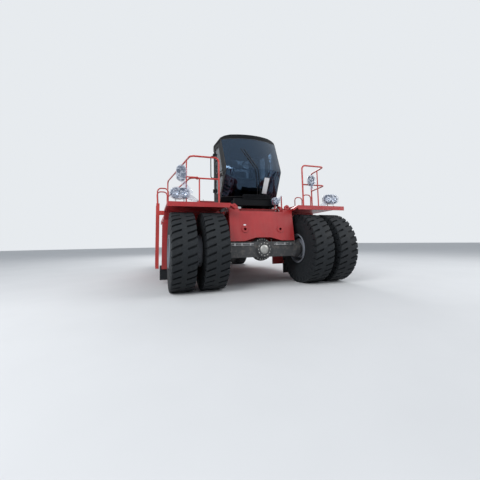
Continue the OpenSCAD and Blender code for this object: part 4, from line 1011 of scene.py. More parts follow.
def make_cab_trim():
    """The drip rail round the roof, the rear grille and the floor mat."""
    rail, grille, mat = Shape(), Shape(), Shape()
    for sign in SIDES:
        edge = [(x, wall_y(x) if x > -1.2 else quarter_y(x)) for x in (-0.70, -0.95, -1.20, -1.40, -1.60)]
        rail.tube([at(x, sign * y * 1.003, ROOF_Z + 0.006) for x, y in edge], 0.011, 10)
    behind = facing(CAB_BACK - 0.003)
    rail.tube([behind(y, ROOF_Z + 0.006, 0) for y in (-0.50, 0.0, 0.50)], 0.011, 10)
    piece("drip_rail", rail, BLACK, "cab")

    slat = [(-0.003, 0.0), (0.010, -0.018), (0.013, -0.016), (0.0, 0.002)]
    for i in range(9):
        grille.prism(slat, -0.33, 0.33, lambda u, v, w: at(CAB_BACK - 0.002 - u, w, 2.16 + i * 0.044 + v))
    loop = [behind(y, z, 0) for y, z in corners((-0.35, 0.35), (2.12, 2.54))]
    grille.tube(closed_loop(loop), 0.010, 8, bend=0.02)
    piece("cab_rear_grille", grille, PLASTIC, "cab")

    mat.plate((-1.02, 0.0), (0.400, 0.560), 0.06, CAB_FLOOR, 2.064, at, 6)
    for i in range(24):
        x = -1.38 + i * 0.031
        mat.box(at(x, -0.53, 2.064), at(x + 0.010, 0.53, 2.067))
    piece("floor_mat", mat, SEAL, "cab", edge=0.001)


def make_controls():
    """A stick, a display with keys, two pedals, and the levers and knob of the steering wheel."""
    stick, screen, dark = Shape(), Shape(), Shape()
    base = at(-1.110, -0.310, 2.700)
    stick.turned(base, (0.05, 0, 1), [
        (0, 0.045), (0.010, 0.043), (0.022, 0.030), (0.036, 0.024), (0.050, 0.014), (0.085, 0.011)], 24)
    stick.turned(base + Vector((0.004, 0, 0.080)), (0.12, 0.05, 1), [
        (0, 0.011), (0.010, 0.019), (0.050, 0.024), (0.085, 0.027), (0.110, 0.026), (0.125, 0.016),
        (0.129, 0.0)], 24)
    for i in range(3):
        button = base + Vector((0.040, -0.012 + i * 0.012, 0.176))
        stick.turned(button, (1, 0, 0.5), [(0, 0.005), (0.004, 0.0048), (0.006, 0.0)], 12)
    piece("control_stick", stick, PLASTIC, "cab", sharp=40)

    turn = Matrix.Rotation(math.radians(28), 3, "Z") @ Matrix.Rotation(math.radians(-12), 3, "Y")

    def on_display(u, v, w):
        return at(-0.560, -0.450, 2.930) + turn @ Vector((w, u, v))

    dark.plate((0, 0), (0.125, 0.088), 0.016, 0.0, 0.036, on_display, 5)
    screen.plate((0, 0), (0.112, 0.075), 0.006, -0.0015, 0.002, on_display, 4)
    stand = [on_display(0, -0.02, 0.036), at(-0.500, -0.480, 2.800), at(-0.470, -0.390, 2.560)]
    dark.tube(stand, 0.014, 12, bend=0.05)
    for i in range(5):
        key = on_display(-0.09 + i * 0.045, -0.082, -0.001)
        dark.turned(key, turn @ -AHEAD, [(0, 0.007), (0.003, 0.006), (0.004, 0.0)], 12)

    lean = Matrix.Rotation(math.radians(-38), 3, "Y")
    for y in (-0.150, 0.080):
        pedal = at(-0.760, y, 2.150)
        dark.plate((0, 0), (0.045, 0.070), 0.012, 0.0, 0.010,
                   lambda u, v, w: pedal + lean @ Vector((v, u, w)), 4)
        dark.rod(pedal, at(-0.690, y, 2.080), 0.010)

    column = Matrix.Rotation(math.radians(-28), 3, "Y")
    axis = column @ UP

    def on_wheel(u, v, w):
        return at(-0.720, 0.060, 3.010) + column @ Vector((u, v, w))

    for sign in SIDES:
        lever = [on_wheel(0, sign * 0.040, -0.070), on_wheel(0, sign * 0.170, -0.050)]
        dark.tube(lever, lambda t: 0.005 + 0.006 * max(t - 0.55, 0) * 2, 10)
    dark.turned(on_wheel(0, 0.168, 0.018), axis, [
        (0, 0.010), (0.020, 0.012), (0.034, 0.022), (0.050, 0.023), (0.060, 0.012), (0.062, 0.0)], 20)
    dark.turned(on_wheel(0, 0, 0), axis, [(0.012, 0.044), (0.020, 0.040), (0.026, 0.028), (0.028, 0.0)], 28)
    piece("cab_controls", dark, PLASTIC, "cab", sharp=40)
    piece("cab_display", screen, DISPLAY, "cab")


def make_paper():
    """A blank sheet that lies on the screen, its free corner a little off it."""
    shape = Shape()
    low_y, low_z, width, height = 0.232, 2.185, 0.142, 0.355
    rows = []
    for r in range(13):
        z = low_z + height * r / 12
        row = []
        for i in range(9):
            y = low_y + width * i / 8
            curl = 0.006 * math.sin(i / 8 * math.pi) + 0.010 * (r / 12) ** 3
            row.append(at(screen_x(y, z, 0.0095 + curl * 0.4), y, z))
        rows.append(row)
    shape.skin(rows)
    sheet_piece("paper_sheet", shape, PAPER, "cab", width)


make_screen()
make_wipers()
make_window_seals()
make_door_handles()
make_cab_trim()
make_controls()
make_paper()


# The driver's seat: simulated cushions on a shell, a suspension and two armrests

CUSHION_X, CUSHION_Z = -1.215, 2.400
BACK_FOOT, BACK_HEAD = Vector((-1.405, 0, 2.485)), Vector((-1.487, 0, 3.040))
BACK_UP = (BACK_HEAD - BACK_FOOT).normalized()
BACK_OUT = Vector((BACK_UP.z, 0, -BACK_UP.x))
CUSHION_CORNER = 0.055
# Each row gives a place through a cushion, from -1 to 1, and how far its outline is drawn in there
PILLOW_STEPS = [
    (-1.0, 0.040), (-0.86, 0.014), (-0.45, 0.002), (0.0, 0.0), (0.45, 0.004), (0.86, 0.018), (1.0, 0.048),
]
VOXEL = 0.008
CLOTH_FRAMES = 20


def on_cushion(u, v, w):
    return at(CUSHION_X + u, v, CUSHION_Z + w)


def on_back(u, v, w):
    return at(*((BACK_FOOT + BACK_HEAD) / 2)) + Vector((0, u, 0)) + BACK_UP * v + BACK_OUT * w


def on_headrest(u, v, w):
    return at(-1.488 + w, u, 3.155 + v)


def pillow(name, place, half, thick, cap, channels=()):
    """A cushion blown up by cloth pressure. Place turns (u, v, w) into a point, w along its thickness."""
    shape = Shape()
    steps = [(lift * thick / 2, inset) for lift, inset in PILLOW_STEPS]
    shape.rounded_box((0, 0), half, CUSHION_CORNER, steps, place)
    thing = piece(name, shape, CLOTH, "cab", sharp=180)
    centre = place(0, 0, 0)
    across, up, proud = (place(*end) - centre for end in ((1, 0, 0), (0, 1, 0), (0, 0, 1)))
    inflate(thing, cap)
    for vertex in thing.data.vertices:
        offset = vertex.co - centre
        if offset.dot(proud) <= 0:
            continue
        u, v = offset.dot(across), offset.dot(up)
        sunk = sum(math.exp(-(((u if kind == "u" else v) - line) / 0.006) ** 2) for kind, line in channels)
        vertex.co -= proud * 0.006 * min(sunk, 1.0)
    fine = thing.modifiers.new("fine", "SUBSURF")
    fine.levels = fine.render_levels = 1
    return thing


def inflate(thing, cap):
    """Remeshes a closed form, lets cloth pressure swell it, and caps how far each point may move."""
    scene = bpy.context.scene
    grid = thing.modifiers.new("grid", "REMESH")
    grid.mode, grid.voxel_size = "VOXEL", VOXEL
    bake(thing)
    rest = [v.co.copy() for v in thing.data.vertices]
    simulation = thing.modifiers.new("cloth", "CLOTH")
    settings = simulation.settings
    settings.quality = 5
    settings.use_pressure = True
    settings.uniform_pressure_force = 4
    settings.tension_stiffness = settings.compression_stiffness = 12
    settings.bending_stiffness = 0.6
    settings.effector_weights.gravity = 0
    simulation.point_cache.frame_start, simulation.point_cache.frame_end = 1, CLOTH_FRAMES
    for number in range(1, CLOTH_FRAMES + 1):
        scene.frame_set(number)
    bake(thing)
    scene.frame_set(1)
    for vertex, start in zip(thing.data.vertices, rest):
        move = vertex.co - start
        if move.length > cap:
            vertex.co = start + move.normalized() * cap
    thing.data.shade_smooth()


def bake(thing):
    """Puts what the modifiers make into the mesh and takes them off."""
    graph = bpy.context.evaluated_depsgraph_get()
    made = bpy.data.meshes.new_from_object(thing.evaluated_get(graph))
    old = thing.data
    thing.modifiers.clear()
    thing.data = made
    made.name = old.name + "_made"
    bpy.data.meshes.remove(old)


def piping(shape, thing, place, half, off):
    """A cord of piping laid on the nearest places of a cushion."""
    faces = [p.vertices for p in thing.data.polygons]
    tree = bvhtree.BVHTree.FromPolygons([v.co for v in thing.data.vertices], faces)
    loop = [place(u, v, off) for u, v in rounded_outline((0, 0), half, CUSHION_CORNER)]
    shape.tube(closed_loop([tree.find_nearest(point)[0] for point in loop]), 0.0045, 8)


def make_seat():
    lines = [("v", y) for y in (-0.090, 0.090)] + [("u", x) for x in (-0.080, 0.060)]
    base = pillow("seat_cushion", on_cushion, (0.240, 0.245), 0.118, 0.012, lines)
    lines = [("u", y) for y in (-0.110, 0.110)] + [("v", z) for z in (-0.100, 0.060)]
    back = pillow("seat_back", on_back, (0.225, 0.272), 0.090, 0.012, lines)
    head = pillow("seat_headrest", on_headrest, (0.118, 0.066), 0.076, 0.008)
    for thing in (base, back, head):
        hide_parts("seat")
    trim = Shape()
    for sign in SIDES:
        piping(trim, base, on_cushion, (0.238, 0.243), sign * 0.050)
        piping(trim, back, on_back, (0.223, 0.270), sign * 0.036)
    piece("seat_piping", trim, SEAL, "cab")

    shell, posts, arms = Shape(), Shape(), Shape()
    shell.plate((0, 0), (0.228, 0.285), 0.070, -0.072, -0.050,
                lambda u, v, w: on_back(u * (0.92 if v > 0.2 else 1), v, w))
    shell.plate((CUSHION_X - 0.005, 0), (0.235, 0.240), 0.05, 2.300, 2.334, at, 6)
    for i in range(6):
        low = 2.105 + i * 0.032
        shell.plate((-1.250, 0), (0.165, 0.155), 0.03, low, low + 0.016, at, 5)
        shell.plate((-1.250, 0), (0.179, 0.169), 0.03, low + 0.016, low + 0.032, at, 5)
    shell.plate((-1.250, 0), (0.175, 0.165), 0.02, CAB_FLOOR, 2.105, at, 5)
    steps = [(2.640, 0.010), (2.646, 0.003), (2.660, 0.0), (2.680, 0.001), (2.692, 0.006), (2.699, 0.016)]
    for sign in SIDES:
        posts.rod(at(-1.488, sign * 0.045, 3.010), at(-1.488, sign * 0.045, 3.110), 0.006)
        posts.box(at(-1.400, sign * 0.140, 2.065), at(-1.060, sign * 0.155, 2.090))
        way = ((-1.410, 0.262, 2.420), (-1.410, 0.300, 2.560), (-1.400, 0.308, 2.650))
        arms.tube([at(x, sign * y, z) for x, y, z in way], 0.017, 12, bend=0.04)
        arms.rounded_box((-1.260, sign * 0.310), (0.178, 0.034), 0.017, steps, at, 6)
    piece("seat_shell", shell, PLASTIC, "cab", edge=0.002, sharp=45, instead_of="seat")
    piece("seat_posts", posts, STEEL, "cab", sharp=45, instead_of="seat")
    piece("seat_armrests", arms, SEAL, "cab", sharp=45, instead_of="seat")


make_seat()


# Running gear: nuts, cover bolts, lock rings and rigid pipes

STEER_X = -6.000
RAM_X = STEER_X - 0.270
KING_PIN_Y = 1.130


def wheel_nut(shape, place, axis):
    shape.turned(place, axis, [(0, 0.021), (0.004, 0.021), (0.005, 0.017), (0.005, 0.0165)], 20)
    shape.turned(place, axis, [(0.004, 0.0165), (0.022, 0.0165), (0.026, 0.014)], 6)
    shape.turned(place, axis, [(0.020, 0.010), (0.040, 0.010), (0.042, 0.008)], 12)


def rim_rings(shape, centre, sign):
    """The side ring and the lock ring at the edge of a drum, on the side that sign gives."""
    turn = [math.tau * i / 8 for i in range(8)]
    for along, radius, thick in ((0.246, 0.337, 0.0065), (0.239, 0.318, 0.0055)):
        profile = [(along + thick * math.cos(a), radius + thick * math.sin(a)) for a in turn]
        shape.hoop(centre, (0, sign, 0), profile, 96)


def tyre_valve(shape, x, y, sign):
    """The bent stem of a tyre's valve, and its cap."""
    near = around(at(x, sign * y, AXLE_Z + 0.292))
    shape.tube([near(0, -sign * 0.040, 0.006), near(0, 0, 0), near(0, sign * 0.055, -0.012)], 0.006, 10)
    shape.rod(near(0, sign * 0.046, -0.010), near(0, sign * 0.072, -0.0155), 0.009, 12)


def make_wheel_details():
    for side, sign in NAMED_SIDES:
        out, place = (0, sign, 0), on_side(sign, 0)
        nuts, rings, hub = Shape(), Shape(), Shape()
        for point in circle_points(place(0, AXLE_Z, 1.6205), out, 0.268, 24):
            wheel_nut(nuts, point, out)
        nuts.bolt_circle(place(0, AXLE_Z, 1.930), out, 0.192, 16, 0.011, 0.010, 0.1)
        end = place(0, AXLE_Z, 1.960)
        nuts.bolt_circle(end, out, 0.120, 3, 0.013, 0.012, 0.5)
        nuts.turned(end, out, [(0, 0.062), (0.006, 0.060), (0.010, 0.052), (0.010, 0.0)], 32)
        tyre_valve(nuts, 0, 1.985, sign)
        for profile in ([(0.012, 0.2155), (0.020, 0.2215), (0.040, 0.2215), (0.048, 0.2155)],
                        [(0.120, 0.2155), (0.128, 0.2205), (0.146, 0.2205), (0.1545, 0.2155)]):
            hub.hoop(place(0, AXLE_Z, 1.776), out, profile, 64)
        rim_rings(rings, place(0, AXLE_Z, 1.803), sign)
        rim_rings(rings, place(0, AXLE_Z, 1.177), -sign)
        body = f"{side}_front_wheels"
        piece(f"wheel_nuts_front_{side}", nuts, ZINC, body)
        piece(f"hub_rings_front_{side}", hub, RIM, body, edge=0.001)
        piece(f"lock_rings_front_{side}", rings, RIM, body)

        nuts, rings = Shape(), Shape()
        x = middle(f"rear_rim_{side}").x - AXLE_X
        for point in circle_points(place(x, AXLE_Z, 1.5155), out, 0.238, 20):
            wheel_nut(nuts, point, out)
        end = place(x, AXLE_Z, 1.580)
        nuts.bolt_circle(end, out, 0.108, 8, 0.009, 0.009, 0.2)
        nuts.turned(end, out, [(0, 0.050), (0.012, 0.048), (0.016, 0.040), (0.016, 0.0)], 28)
        tyre_valve(nuts, x, 1.560, sign)
        rim_rings(rings, place(x, AXLE_Z, 1.380), sign)
        body = f"{side}_rear_wheel"
        piece(f"wheel_nuts_rear_{side}", nuts, ZINC, body)
        piece(f"lock_rings_rear_{side}", rings, RIM, body)


def make_drive_axle_details():
    bolts, pipes, brakes = Shape(), Shape(), Shape()
    bolts.bolt_circle(at(0.090, 0, AXLE_Z), AHEAD, 0.222, 24, 0.011, 0.010)
    bolts.bolt_circle(at(0.210, 0, AXLE_Z), AHEAD, 0.142, 12, 0.010, 0.009)
    cover = [(0, 0.100), (0.006, 0.098), (0.018, 0.080), (0.022, 0.040), (0.022, 0)]
    bolts.turned(at(0.210, 0, AXLE_Z), AHEAD, cover, 40)
    bolts.bolt(at(0.045, 0, AXLE_Z - 0.245), -UP, 0.018, 0.016)
    breather = [(0, 0.012), (0.030, 0.012), (0.032, 0.018), (0.048, 0.018), (0.052, 0.0)]
    bolts.turned(at(-0.060, 0.300, AXLE_Z + 0.170), UP, breather, 16)
    fin = [(0, 0.2055), (0.004, 0.216), (0.012, 0.216), (0.016, 0.2055)]
    for sign in SIDES:
        out = (0, sign, 0)
        bolts.bolt_circle(at(0, sign * 0.925, AXLE_Z), out, 0.185, 12, 0.012, 0.010, 0.2)
        places = [at(x, sign * y, 0.909) for x in (-0.200, 0.120) for y in (0.600, 0.707)]
        bolts.bolts(places, -UP, 0.018, 0.020)
        for i in range(3):
            brakes.hoop(at(0, sign * (0.822 + i * 0.034), AXLE_Z), out, fin, 64)
        for z in (AXLE_Z + 0.10, AXLE_Z + 0.13):
            way = [at(0.184, sign * 0.245, z), at(0.184, sign * 0.700, z), at(0.150, sign * 0.812, z + 0.02),
                   at(0.100, sign * 0.815, z + 0.08)]
            pipes.tube(way, 0.006, 10, bend=0.03)
        for y in (0.32, 0.52, 0.68):
            clip = around(at(0.192, sign * y, AXLE_Z + 0.115))
            pipes.box(clip(-0.023, -0.012, -0.027), clip(0, 0.012, 0.027))
            pipes.bolt(clip(0, 0, 0), AHEAD, 0.006, 0.005)
    piece("drive_axle_bolts", bolts, ZINC)
    pieces(("brake_housing_fins", brakes, CAST), ("brake_pipes", pipes, STEEL))


def make_steer_axle_details():
    bolts, pipes = Shape(), Shape()
    for sign in SIDES:
        for way in (1, -1):
            cap, out = at(STEER_X, sign * KING_PIN_Y, AXLE_Z + way * 0.220), UP * way
            bolts.turned(cap, out, [(0, 0.078), (0.008, 0.076), (0.014, 0.060), (0.014, 0)], 32)
            bolts.bolt_circle(cap, out, 0.090, 6, 0.009, 0.009)
            nipple = [(0, 0.006), (0.012, 0.005), (0.016, 0.003), (0.017, 0)]
            bolts.turned(cap + out * 0.014, out, nipple, 12)
        gland, out = at(RAM_X, sign * 0.430, AXLE_Z + 0.140), (0, sign, 0)
        bolts.turned(gland, out, [
            (-0.040, 0.0685), (-0.038, 0.076), (-0.002, 0.076), (0.0, 0.070), (0.0, 0.031),
            (-0.001, 0.0305)], 40)
        bolts.bolt_circle(gland, out, 0.056, 6, 0.006, 0.006)
        port = at(RAM_X, sign * 0.360, AXLE_Z + 0.208)
        pipes.turned(port, UP, [(-0.004, 0.016), (0.014, 0.016), (0.016, 0.012), (0.030, 0.012)], 16)
        way = [port + UP * 0.020, port + UP * 0.080, at(STEER_X - 0.230, sign * 0.330, 1.130),
               at(STEER_X - 0.180, sign * 0.290, 1.250), at(STEER_X + 0.900, sign * 0.290, 1.300)]
        pipes.tube(way, 0.010, 10, bend=0.06)
    pieces(("steer_axle_bolts", bolts, ZINC), ("steer_pipes", pipes, STEEL))


make_wheel_details()
make_drive_axle_details()
make_steer_axle_details()


# Frame, front plate and decks

GIRDER_IN, GIRDER_OUT = 0.566, 0.744
PLATE_LEAN = math.radians(7)
PLATE_FOOT = (0.190, 1.000)
PLATE_OUT = (math.cos(PLATE_LEAN), 0, math.sin(PLATE_LEAN))
CHEEK_BORE = (-0.120, 1.700)
CHEEK_Y = ((0.530, 0.565), (0.742, 0.777))
TOWER_PIVOT = (-5.900, 2.600)


def on_plate(y, up, off):
    """A place on the leaning front plate: across, up along it and off in front of it."""
    foot_x, foot_z = PLATE_FOOT
    c, s = math.cos(PLATE_LEAN), math.sin(PLATE_LEAN)
    return at(foot_x - up * s + off * c, y, foot_z + up * c + off * s)


def eye_outlines(half, drop, hole, count=40):
    """An arch with a flat foot, and a round hole in it."""
    outer, inner = [], []
    for i in range(count):
        a = math.tau * i / count
        c, s = math.cos(a), math.sin(a)
        reach = half if s >= 0 else min(half / max(abs(c), 1e-6), drop / max(abs(s), 1e-6))
        outer.append((c * reach, s * reach))
        inner.append((c * hole, s * hole))
    return outer, inner


def make_plate_details():
    eyes, beads, patch = Shape(), Shape(), Shape()
    outlines = eye_outlines(0.062, 0.050, 0.022)
    for sign in SIDES:
        eye_y = sign * 0.655
        for low in (-0.030, -0.006):
            eyes.ring_plate(*outlines, low, low + 0.020, lambda u, v, w: on_plate(eye_y + u, 0.778 + v, w))
        beads.weld([on_plate(eye_y - 0.064, 0.731, 0.0), on_plate(eye_y + 0.064, 0.731, 0.0)], 0.005)
        hole = on_plate(sign * 0.430, 0.2625, 0.001)
        beads.weld(closed_loop(circle_points(hole, PLATE_OUT, 0.077, 40)), 0.005)
        for y in (sign * 0.5675, sign * 0.7395):
            beads.weld([on_plate(y, 0.02, -0.032), on_plate(y, 0.66, -0.032)], 0.005)
    patch.plate((-0.430, 0.352), (0.028, 0.018), 0.005, 0.0, 0.0015, on_plate, 3)
    piece("plate_lifting_eyes", eyes, RED, edge=0.0015)
    pieces(("plate_welds", beads, RED), ("plate_patch", patch, PALE_PATCH))


def make_cover_details():
    """The edges and bolts of the cover behind the front plate, and the post that stops the cab."""
    edges, post = Shape(), Shape()
    for x in (-0.090, -0.170):
        edges.tube([at(x, -0.50, 1.7385), at(x, 0.50, 1.7385)], 0.0065, 8)
    edges.bolts([at(-0.125, y, 1.745) for y in (-0.42, -0.14, 0.14, 0.42)], UP, 0.012, 0.011)
    near = around(at(-0.060, 0.600, 1.700))
    post.tube([near(0, 0, 0), near(0, 0, 0.360)], 0.016, 16)
    post.turned(near(0, 0, 0.360), UP, [(0, 0.016), (0.006, 0.015), (0.010, 0.0)], 16)
    post.box(near(-0.026, -0.034, -0.020), near(0.026, 0.034, 0))
    post.tube([near(0, 0.016, 0.080), near(0, 0.090, 0)], 0.010, 10)
    piece("cover_plate_edges", edges, RED)
    piece("cab_stop_post", post, RED_TUBE, edge=0.001)


def make_bushings():
    """Rings round the pin bores of the cheeks and the tower, with their bolts and grease nipples."""
    rings, nipples = Shape(), Shape()
    bore_x, bore_z = CHEEK_BORE
    pivot_x, pivot_z = TOWER_PIVOT
    cheek_ring = [(-0.001, 0.0505), (0.0, 0.078), (0.008, 0.078), (0.011, 0.074), (0.011, 0.0505)]
    tower_ring = [(-0.001, 0.0755), (0.0, 0.125), (0.012, 0.125), (0.016, 0.119), (0.016, 0.0755)]
    cheek_nipple = [(0, 0.008), (0.008, 0.008), (0.009, 0.004), (0.018, 0.004), (0.020, 0.0)]
    tower_nipple = [(0, 0.010), (0.010, 0.010), (0.011, 0.005), (0.022, 0.005), (0.025, 0.0)]
    for sign in SIDES:
        for low, high in CHEEK_Y:
            for y, way in ((low, -sign), (high, sign)):
                rings.hoop(at(bore_x, sign * y, bore_z), (0, way, 0), cheek_ring, 48)
            nipples.turned(at(bore_x, sign * (low + high) / 2, bore_z + 0.130), UP, cheek_nipple, 12)
        for y, way in ((0.420, -sign), (0.500, sign)):
            centre = at(pivot_x, sign * y, pivot_z)
            rings.hoop(centre, (0, way, 0), tower_ring, 56)
            nipples.bolt_circle(centre, (0, way, 0), 0.160, 6, 0.014, 0.013, 0.5)
        nipples.turned(at(pivot_x, sign * 0.460, pivot_z + 0.200), UP, tower_nipple, 12)
    piece("pin_bore_rings", rings, STEEL, edge=0.001)
    piece("grease_nipples", nipples, ZINC)


def make_frame_welds():
    beads = Shape()
    rows = [(0.006, y, ((-0.330, 1.202), (0.095, 1.202))) for y in (0.778, 0.777)]
    rows += [(0.007, y, ((-6.725, 1.682), (-5.055, 1.682))) for y in (0.418, 0.502)]
    rows += [(0.005, GIRDER_OUT, ((x, 1.575), (x, 1.755))) for x in (-0.950, -0.870, -1.560, -1.480)]
    rows += [(0.005, GIRDER_OUT, ((-3.900, 0.800), (-3.250, 0.645), (-0.950, 0.645)))]
    for sign in SIDES:
        for radius, y, way in rows:
            beads.weld([at(x, sign * y, z) for x, z in way], radius)
    piece("frame_welds", beads, RED)


def make_valve_block():
    """The control valve between the girders, with rigid pipes along them."""
    block, ports, pipes = Shape(), Shape(), Shape()
    cap = [(0, 0.030), (0.050, 0.030), (0.056, 0.024), (0.090, 0.022), (0.094, 0.0)]
    port = [(0, 0.020), (0.022, 0.020), (0.024, 0.014), (0.050, 0.014)]
    for i in range(7):
        x = -2.300 + i * 0.072
        block.plate((0, 1.360), (0.150, 0.085), 0.010, x, x + 0.066, facing(0), 3)
        x += 0.033
        end, lift = 0.500 - i * 0.034, 1.540 + i * 0.010
        for sign in SIDES:
            block.turned(at(x, sign * 0.150, 1.380), (0, sign, 0), cap, 20)
            ports.turned(at(x, sign * 0.060, 1.445), UP, port, 6)
            way = [at(x, sign * 0.060, 1.480), at(x, sign * 0.060, lift), at(x, sign * end, lift),
                   at(-0.420, sign * end, lift), at(-0.370, sign * end, 1.300)]
            pipes.tube(way, 0.012, 10, bend=0.045)
    block.box(at(-2.330, -0.120, 1.235), at(-1.780, 0.120, 1.276))
    for x in (-2.320, -1.850):
        block.box(at(x, -GIRDER_IN, 1.195), at(x + 0.060, GIRDER_IN, 1.236))
    for x in (-1.10, -0.62):
        for sign in SIDES:
            pipes.box(at(x - 0.020, sign * 0.284, 1.520), at(x + 0.020, sign * 0.520, 1.532))
            pipes.box(at(x - 0.020, sign * 0.510, 1.520), at(x + 0.020, sign * GIRDER_IN, 1.580))
    piece("valve_block", block, CAST, edge=0.002)
    pieces(("valve_ports", ports, ZINC), ("valve_pipes", pipes, STEEL))


def make_deck_details():
    """Grip strips on the decks, the bolts of rails and flaps, and the fenders' lips."""
    strips, feet, lips = Shape(), Shape(), Shape()
    spans = [(-0.900 + i * 0.125, 1.460, 0.560 if i < 8 else 0.30) for i in range(9)]
    spans += [(-1.280 - i * 0.165, *((1.760, 0.200) if i in (0, 3) else (1.430, 0.530))) for i in range(22)]
    for sign in SIDES:
        for x, y, half in spans:
            strips.plate((x, sign * y), (0.028, half), 0.010, DECK_Z, DECK_Z + 0.0025, at, 3)
        back, share = ((-0.460, 1.740), 0.48) if sign > 0 else ((-2.250, 1.950), 0.13)
        between = [start + (end - start) * share for start, end in zip((RAIL_X, 1.640), back)]
        for x, y in ((RAIL_X, 1.030), (RAIL_X, 1.450), between, back):
            foot = at(x, sign * y, DECK_Z)
            feet.bolt_circle(foot + UP * 0.008, UP, 0.031, 4, 0.0055, 0.006, EIGHTH_TURN)
            lips.weld(closed_loop(circle_points(foot + UP * 0.009, UP, 0.0205, 20)), 0.0035)
        lips.tube([at(0.343, sign * y, DECK_Z - 0.093) for y in (0.83, 2.098)], 0.006, 8)
        lips.tube([at(-1.120, sign * 2.133, z) for z in (0.364, 1.496)], 0.005, 8)
        lips.box(at(-1.158, sign * 1.150, 0.396), at(-1.1525, sign * 2.178, 0.446))
        row = [at(-1.122, sign * 2.135, z) for z in (0.55, 0.85, 1.15, 1.42)]
        feet.bolts(row, (0, sign, 0), 0.010, 0.009)
        row = [at(-1.158, sign * y, 0.420) for y in (1.20, 1.36, 1.52, 1.68, 1.84, 2.00, 2.14)]
        feet.bolts(row, -AHEAD, 0.011, 0.010)
    pieces(("grip_strips", strips, GRIP), ("rail_and_flap_bolts", feet, ZINC), ("fender_lips", lips, RED))


def make_ladder_treads():
    treads = Shape()
    for sign in SIDES:
        for z in (0.420, 0.840, 1.170, 1.440, 1.760):
            treads.box(at(-1.764, sign * 2.207, z), at(-1.292, sign * 2.276, z + 0.003))
            for x in (-1.752 + i * 0.020 for i in range(23)):
                for y in (2.217, 2.241, 2.265):
                    stud = at(x, sign * y, z + 0.003)
                    treads.turned(stud, UP, [(0, 0.0062), (0.003, 0.0048), (0.0034, 0.002)], 8)
            treads.bolts([at(x, sign * 2.2405, z + 0.003) for x in (-1.740, -1.316)], UP, 0.007, 0.006)
    piece("ladder_treads", treads, ZINC)


make_plate_details()
make_cover_details()
make_bushings()
make_frame_welds()
make_valve_block()
make_deck_details()
make_ladder_treads()


# Engine bay, tanks and counterweight

HOOD_Y = 0.850
HOOD_TOP = 2.460
EXHAUST = (-4.850, 0.640)
CLEANER_Y, CLEANER_Z = 1.250, 2.034
INTAKE_X = -2.740
TANK_Y = 1.960


def upright(centre):
    """Turns (u, v, w) into a place on a plate that stands along the machine: along X, up and across."""
    return lambda u, v, w: centre + Vector((u, w, v))


def make_hood_details():
    bars, eyes, seams = Shape(), Shape(), Shape()
    slat = [(0, 0.0), (0.030, 0.016), (0.033, 0.014), (0.006, 0.0)]
    for y in (-0.300, 0.010):
        for x in (-4.300 + i * 0.045 for i in range(13)):
            bars.prism(slat, y, y + 0.270, lambda u, v, w: at(x + u, w, HOOD_TOP + v))
    bars.box(at(-4.330, -0.315, HOOD_TOP), at(-3.680, 0.295, HOOD_TOP + 0.003))
    outlines = eye_outlines(0.040, 0.030, 0.016, 32)
    for sign in SIDES:
        for x in (-4.960, -3.640):
            eyes.ring_plate(*outlines, -0.006, 0.006, upright(at(x, sign * 0.640, HOOD_TOP + 0.030)))
        places = [at(x, sign * HOOD_Y, z) for x in (-5.020, -3.480) for z in (1.86, 2.02, 2.18, 2.34)]
        eyes.bolts(places, (0, sign, 0), 0.009, 0.008)
        seams.tube([at(x, sign * 0.847, HOOD_TOP - 0.003) for x in (-5.048, -3.545)], 0.006, 8)
    piece("hood_louvres", bars, RED, edge=0.0008)
    piece("hood_eyes_and_bolts", eyes, ZINC, edge=0.001)
    piece("hood_seams", seams, RED)
    for side, sign in NAMED_SIDES:
        latches, frames = Shape(), Shape()
        place = on_side(sign, HOOD_Y)
        for x in (-4.620, -3.880):
            latches.plate((x, 1.925), (0.060, 0.034), 0.012, 0.0, 0.004, place, 4)
            latches.plate((x, 1.922), (0.044, 0.020), 0.008, 0.004, 0.014, place, 4)
            latches.rod(place(x - 0.040, 1.944, 0.008), place(x + 0.040, 1.944, 0.008), 0.006, 12)
        loop = [place(u, v, 0.0005) for u, v in rounded_outline((-4.250, 2.132), (0.634, 0.252), 0.030, 5)]
        frames.tube(closed_loop(loop), 0.0035, 8)
        for x in (-4.870, -4.510, -3.990, -3.630):
            frames.plate((x, 2.132), (0.010, 0.200), 0.009, 0.0, 0.005, place, 4)
        piece(f"hood_latches_{side}", latches, STEEL, f"{side}_hood_door", edge=0.001)
        piece(f"hood_door_ribs_{side}", frames, RED, f"{side}_hood_door")


def make_exhaust_details():
    bands, dark = Shape(), Shape()
    near = around(at(*EXHAUST, 2.478))
    for z in (0, 0.177):
        bands.band(near(0, 0, z), UP, 0.0755, 0.080, 0.026, 40)
        bands.box(near(0.074, -0.016, z + 0.002), near(0.112, 0.016, z + 0.024))
        bands.bolt(near(0.094, -0.016, z + 0.013), (0, -1, 0), 0.007, 0.008)
    bands.hoop(near(0, 0, 0.222), UP, [(0.0, 0.046), (0.004, 0.052), (0.028, 0.052), (0.030, 0.046)], 36)
    end, way = near(-0.110, 0, 0.442), Vector((-0.110, 0, 0.060)).normalized()
    bands.band(end - way * 0.012, way, 0.0455, 0.049, 0.014, 36)
    dark.turned(end, way, [(0.0005, 0.0), (0.0008, 0.041), (0.0012, 0.0)], 32)
    piece("exhaust_bands", bands, ZINC)
    piece("exhaust_mouth", dark, SEAL, slot="black_paint")


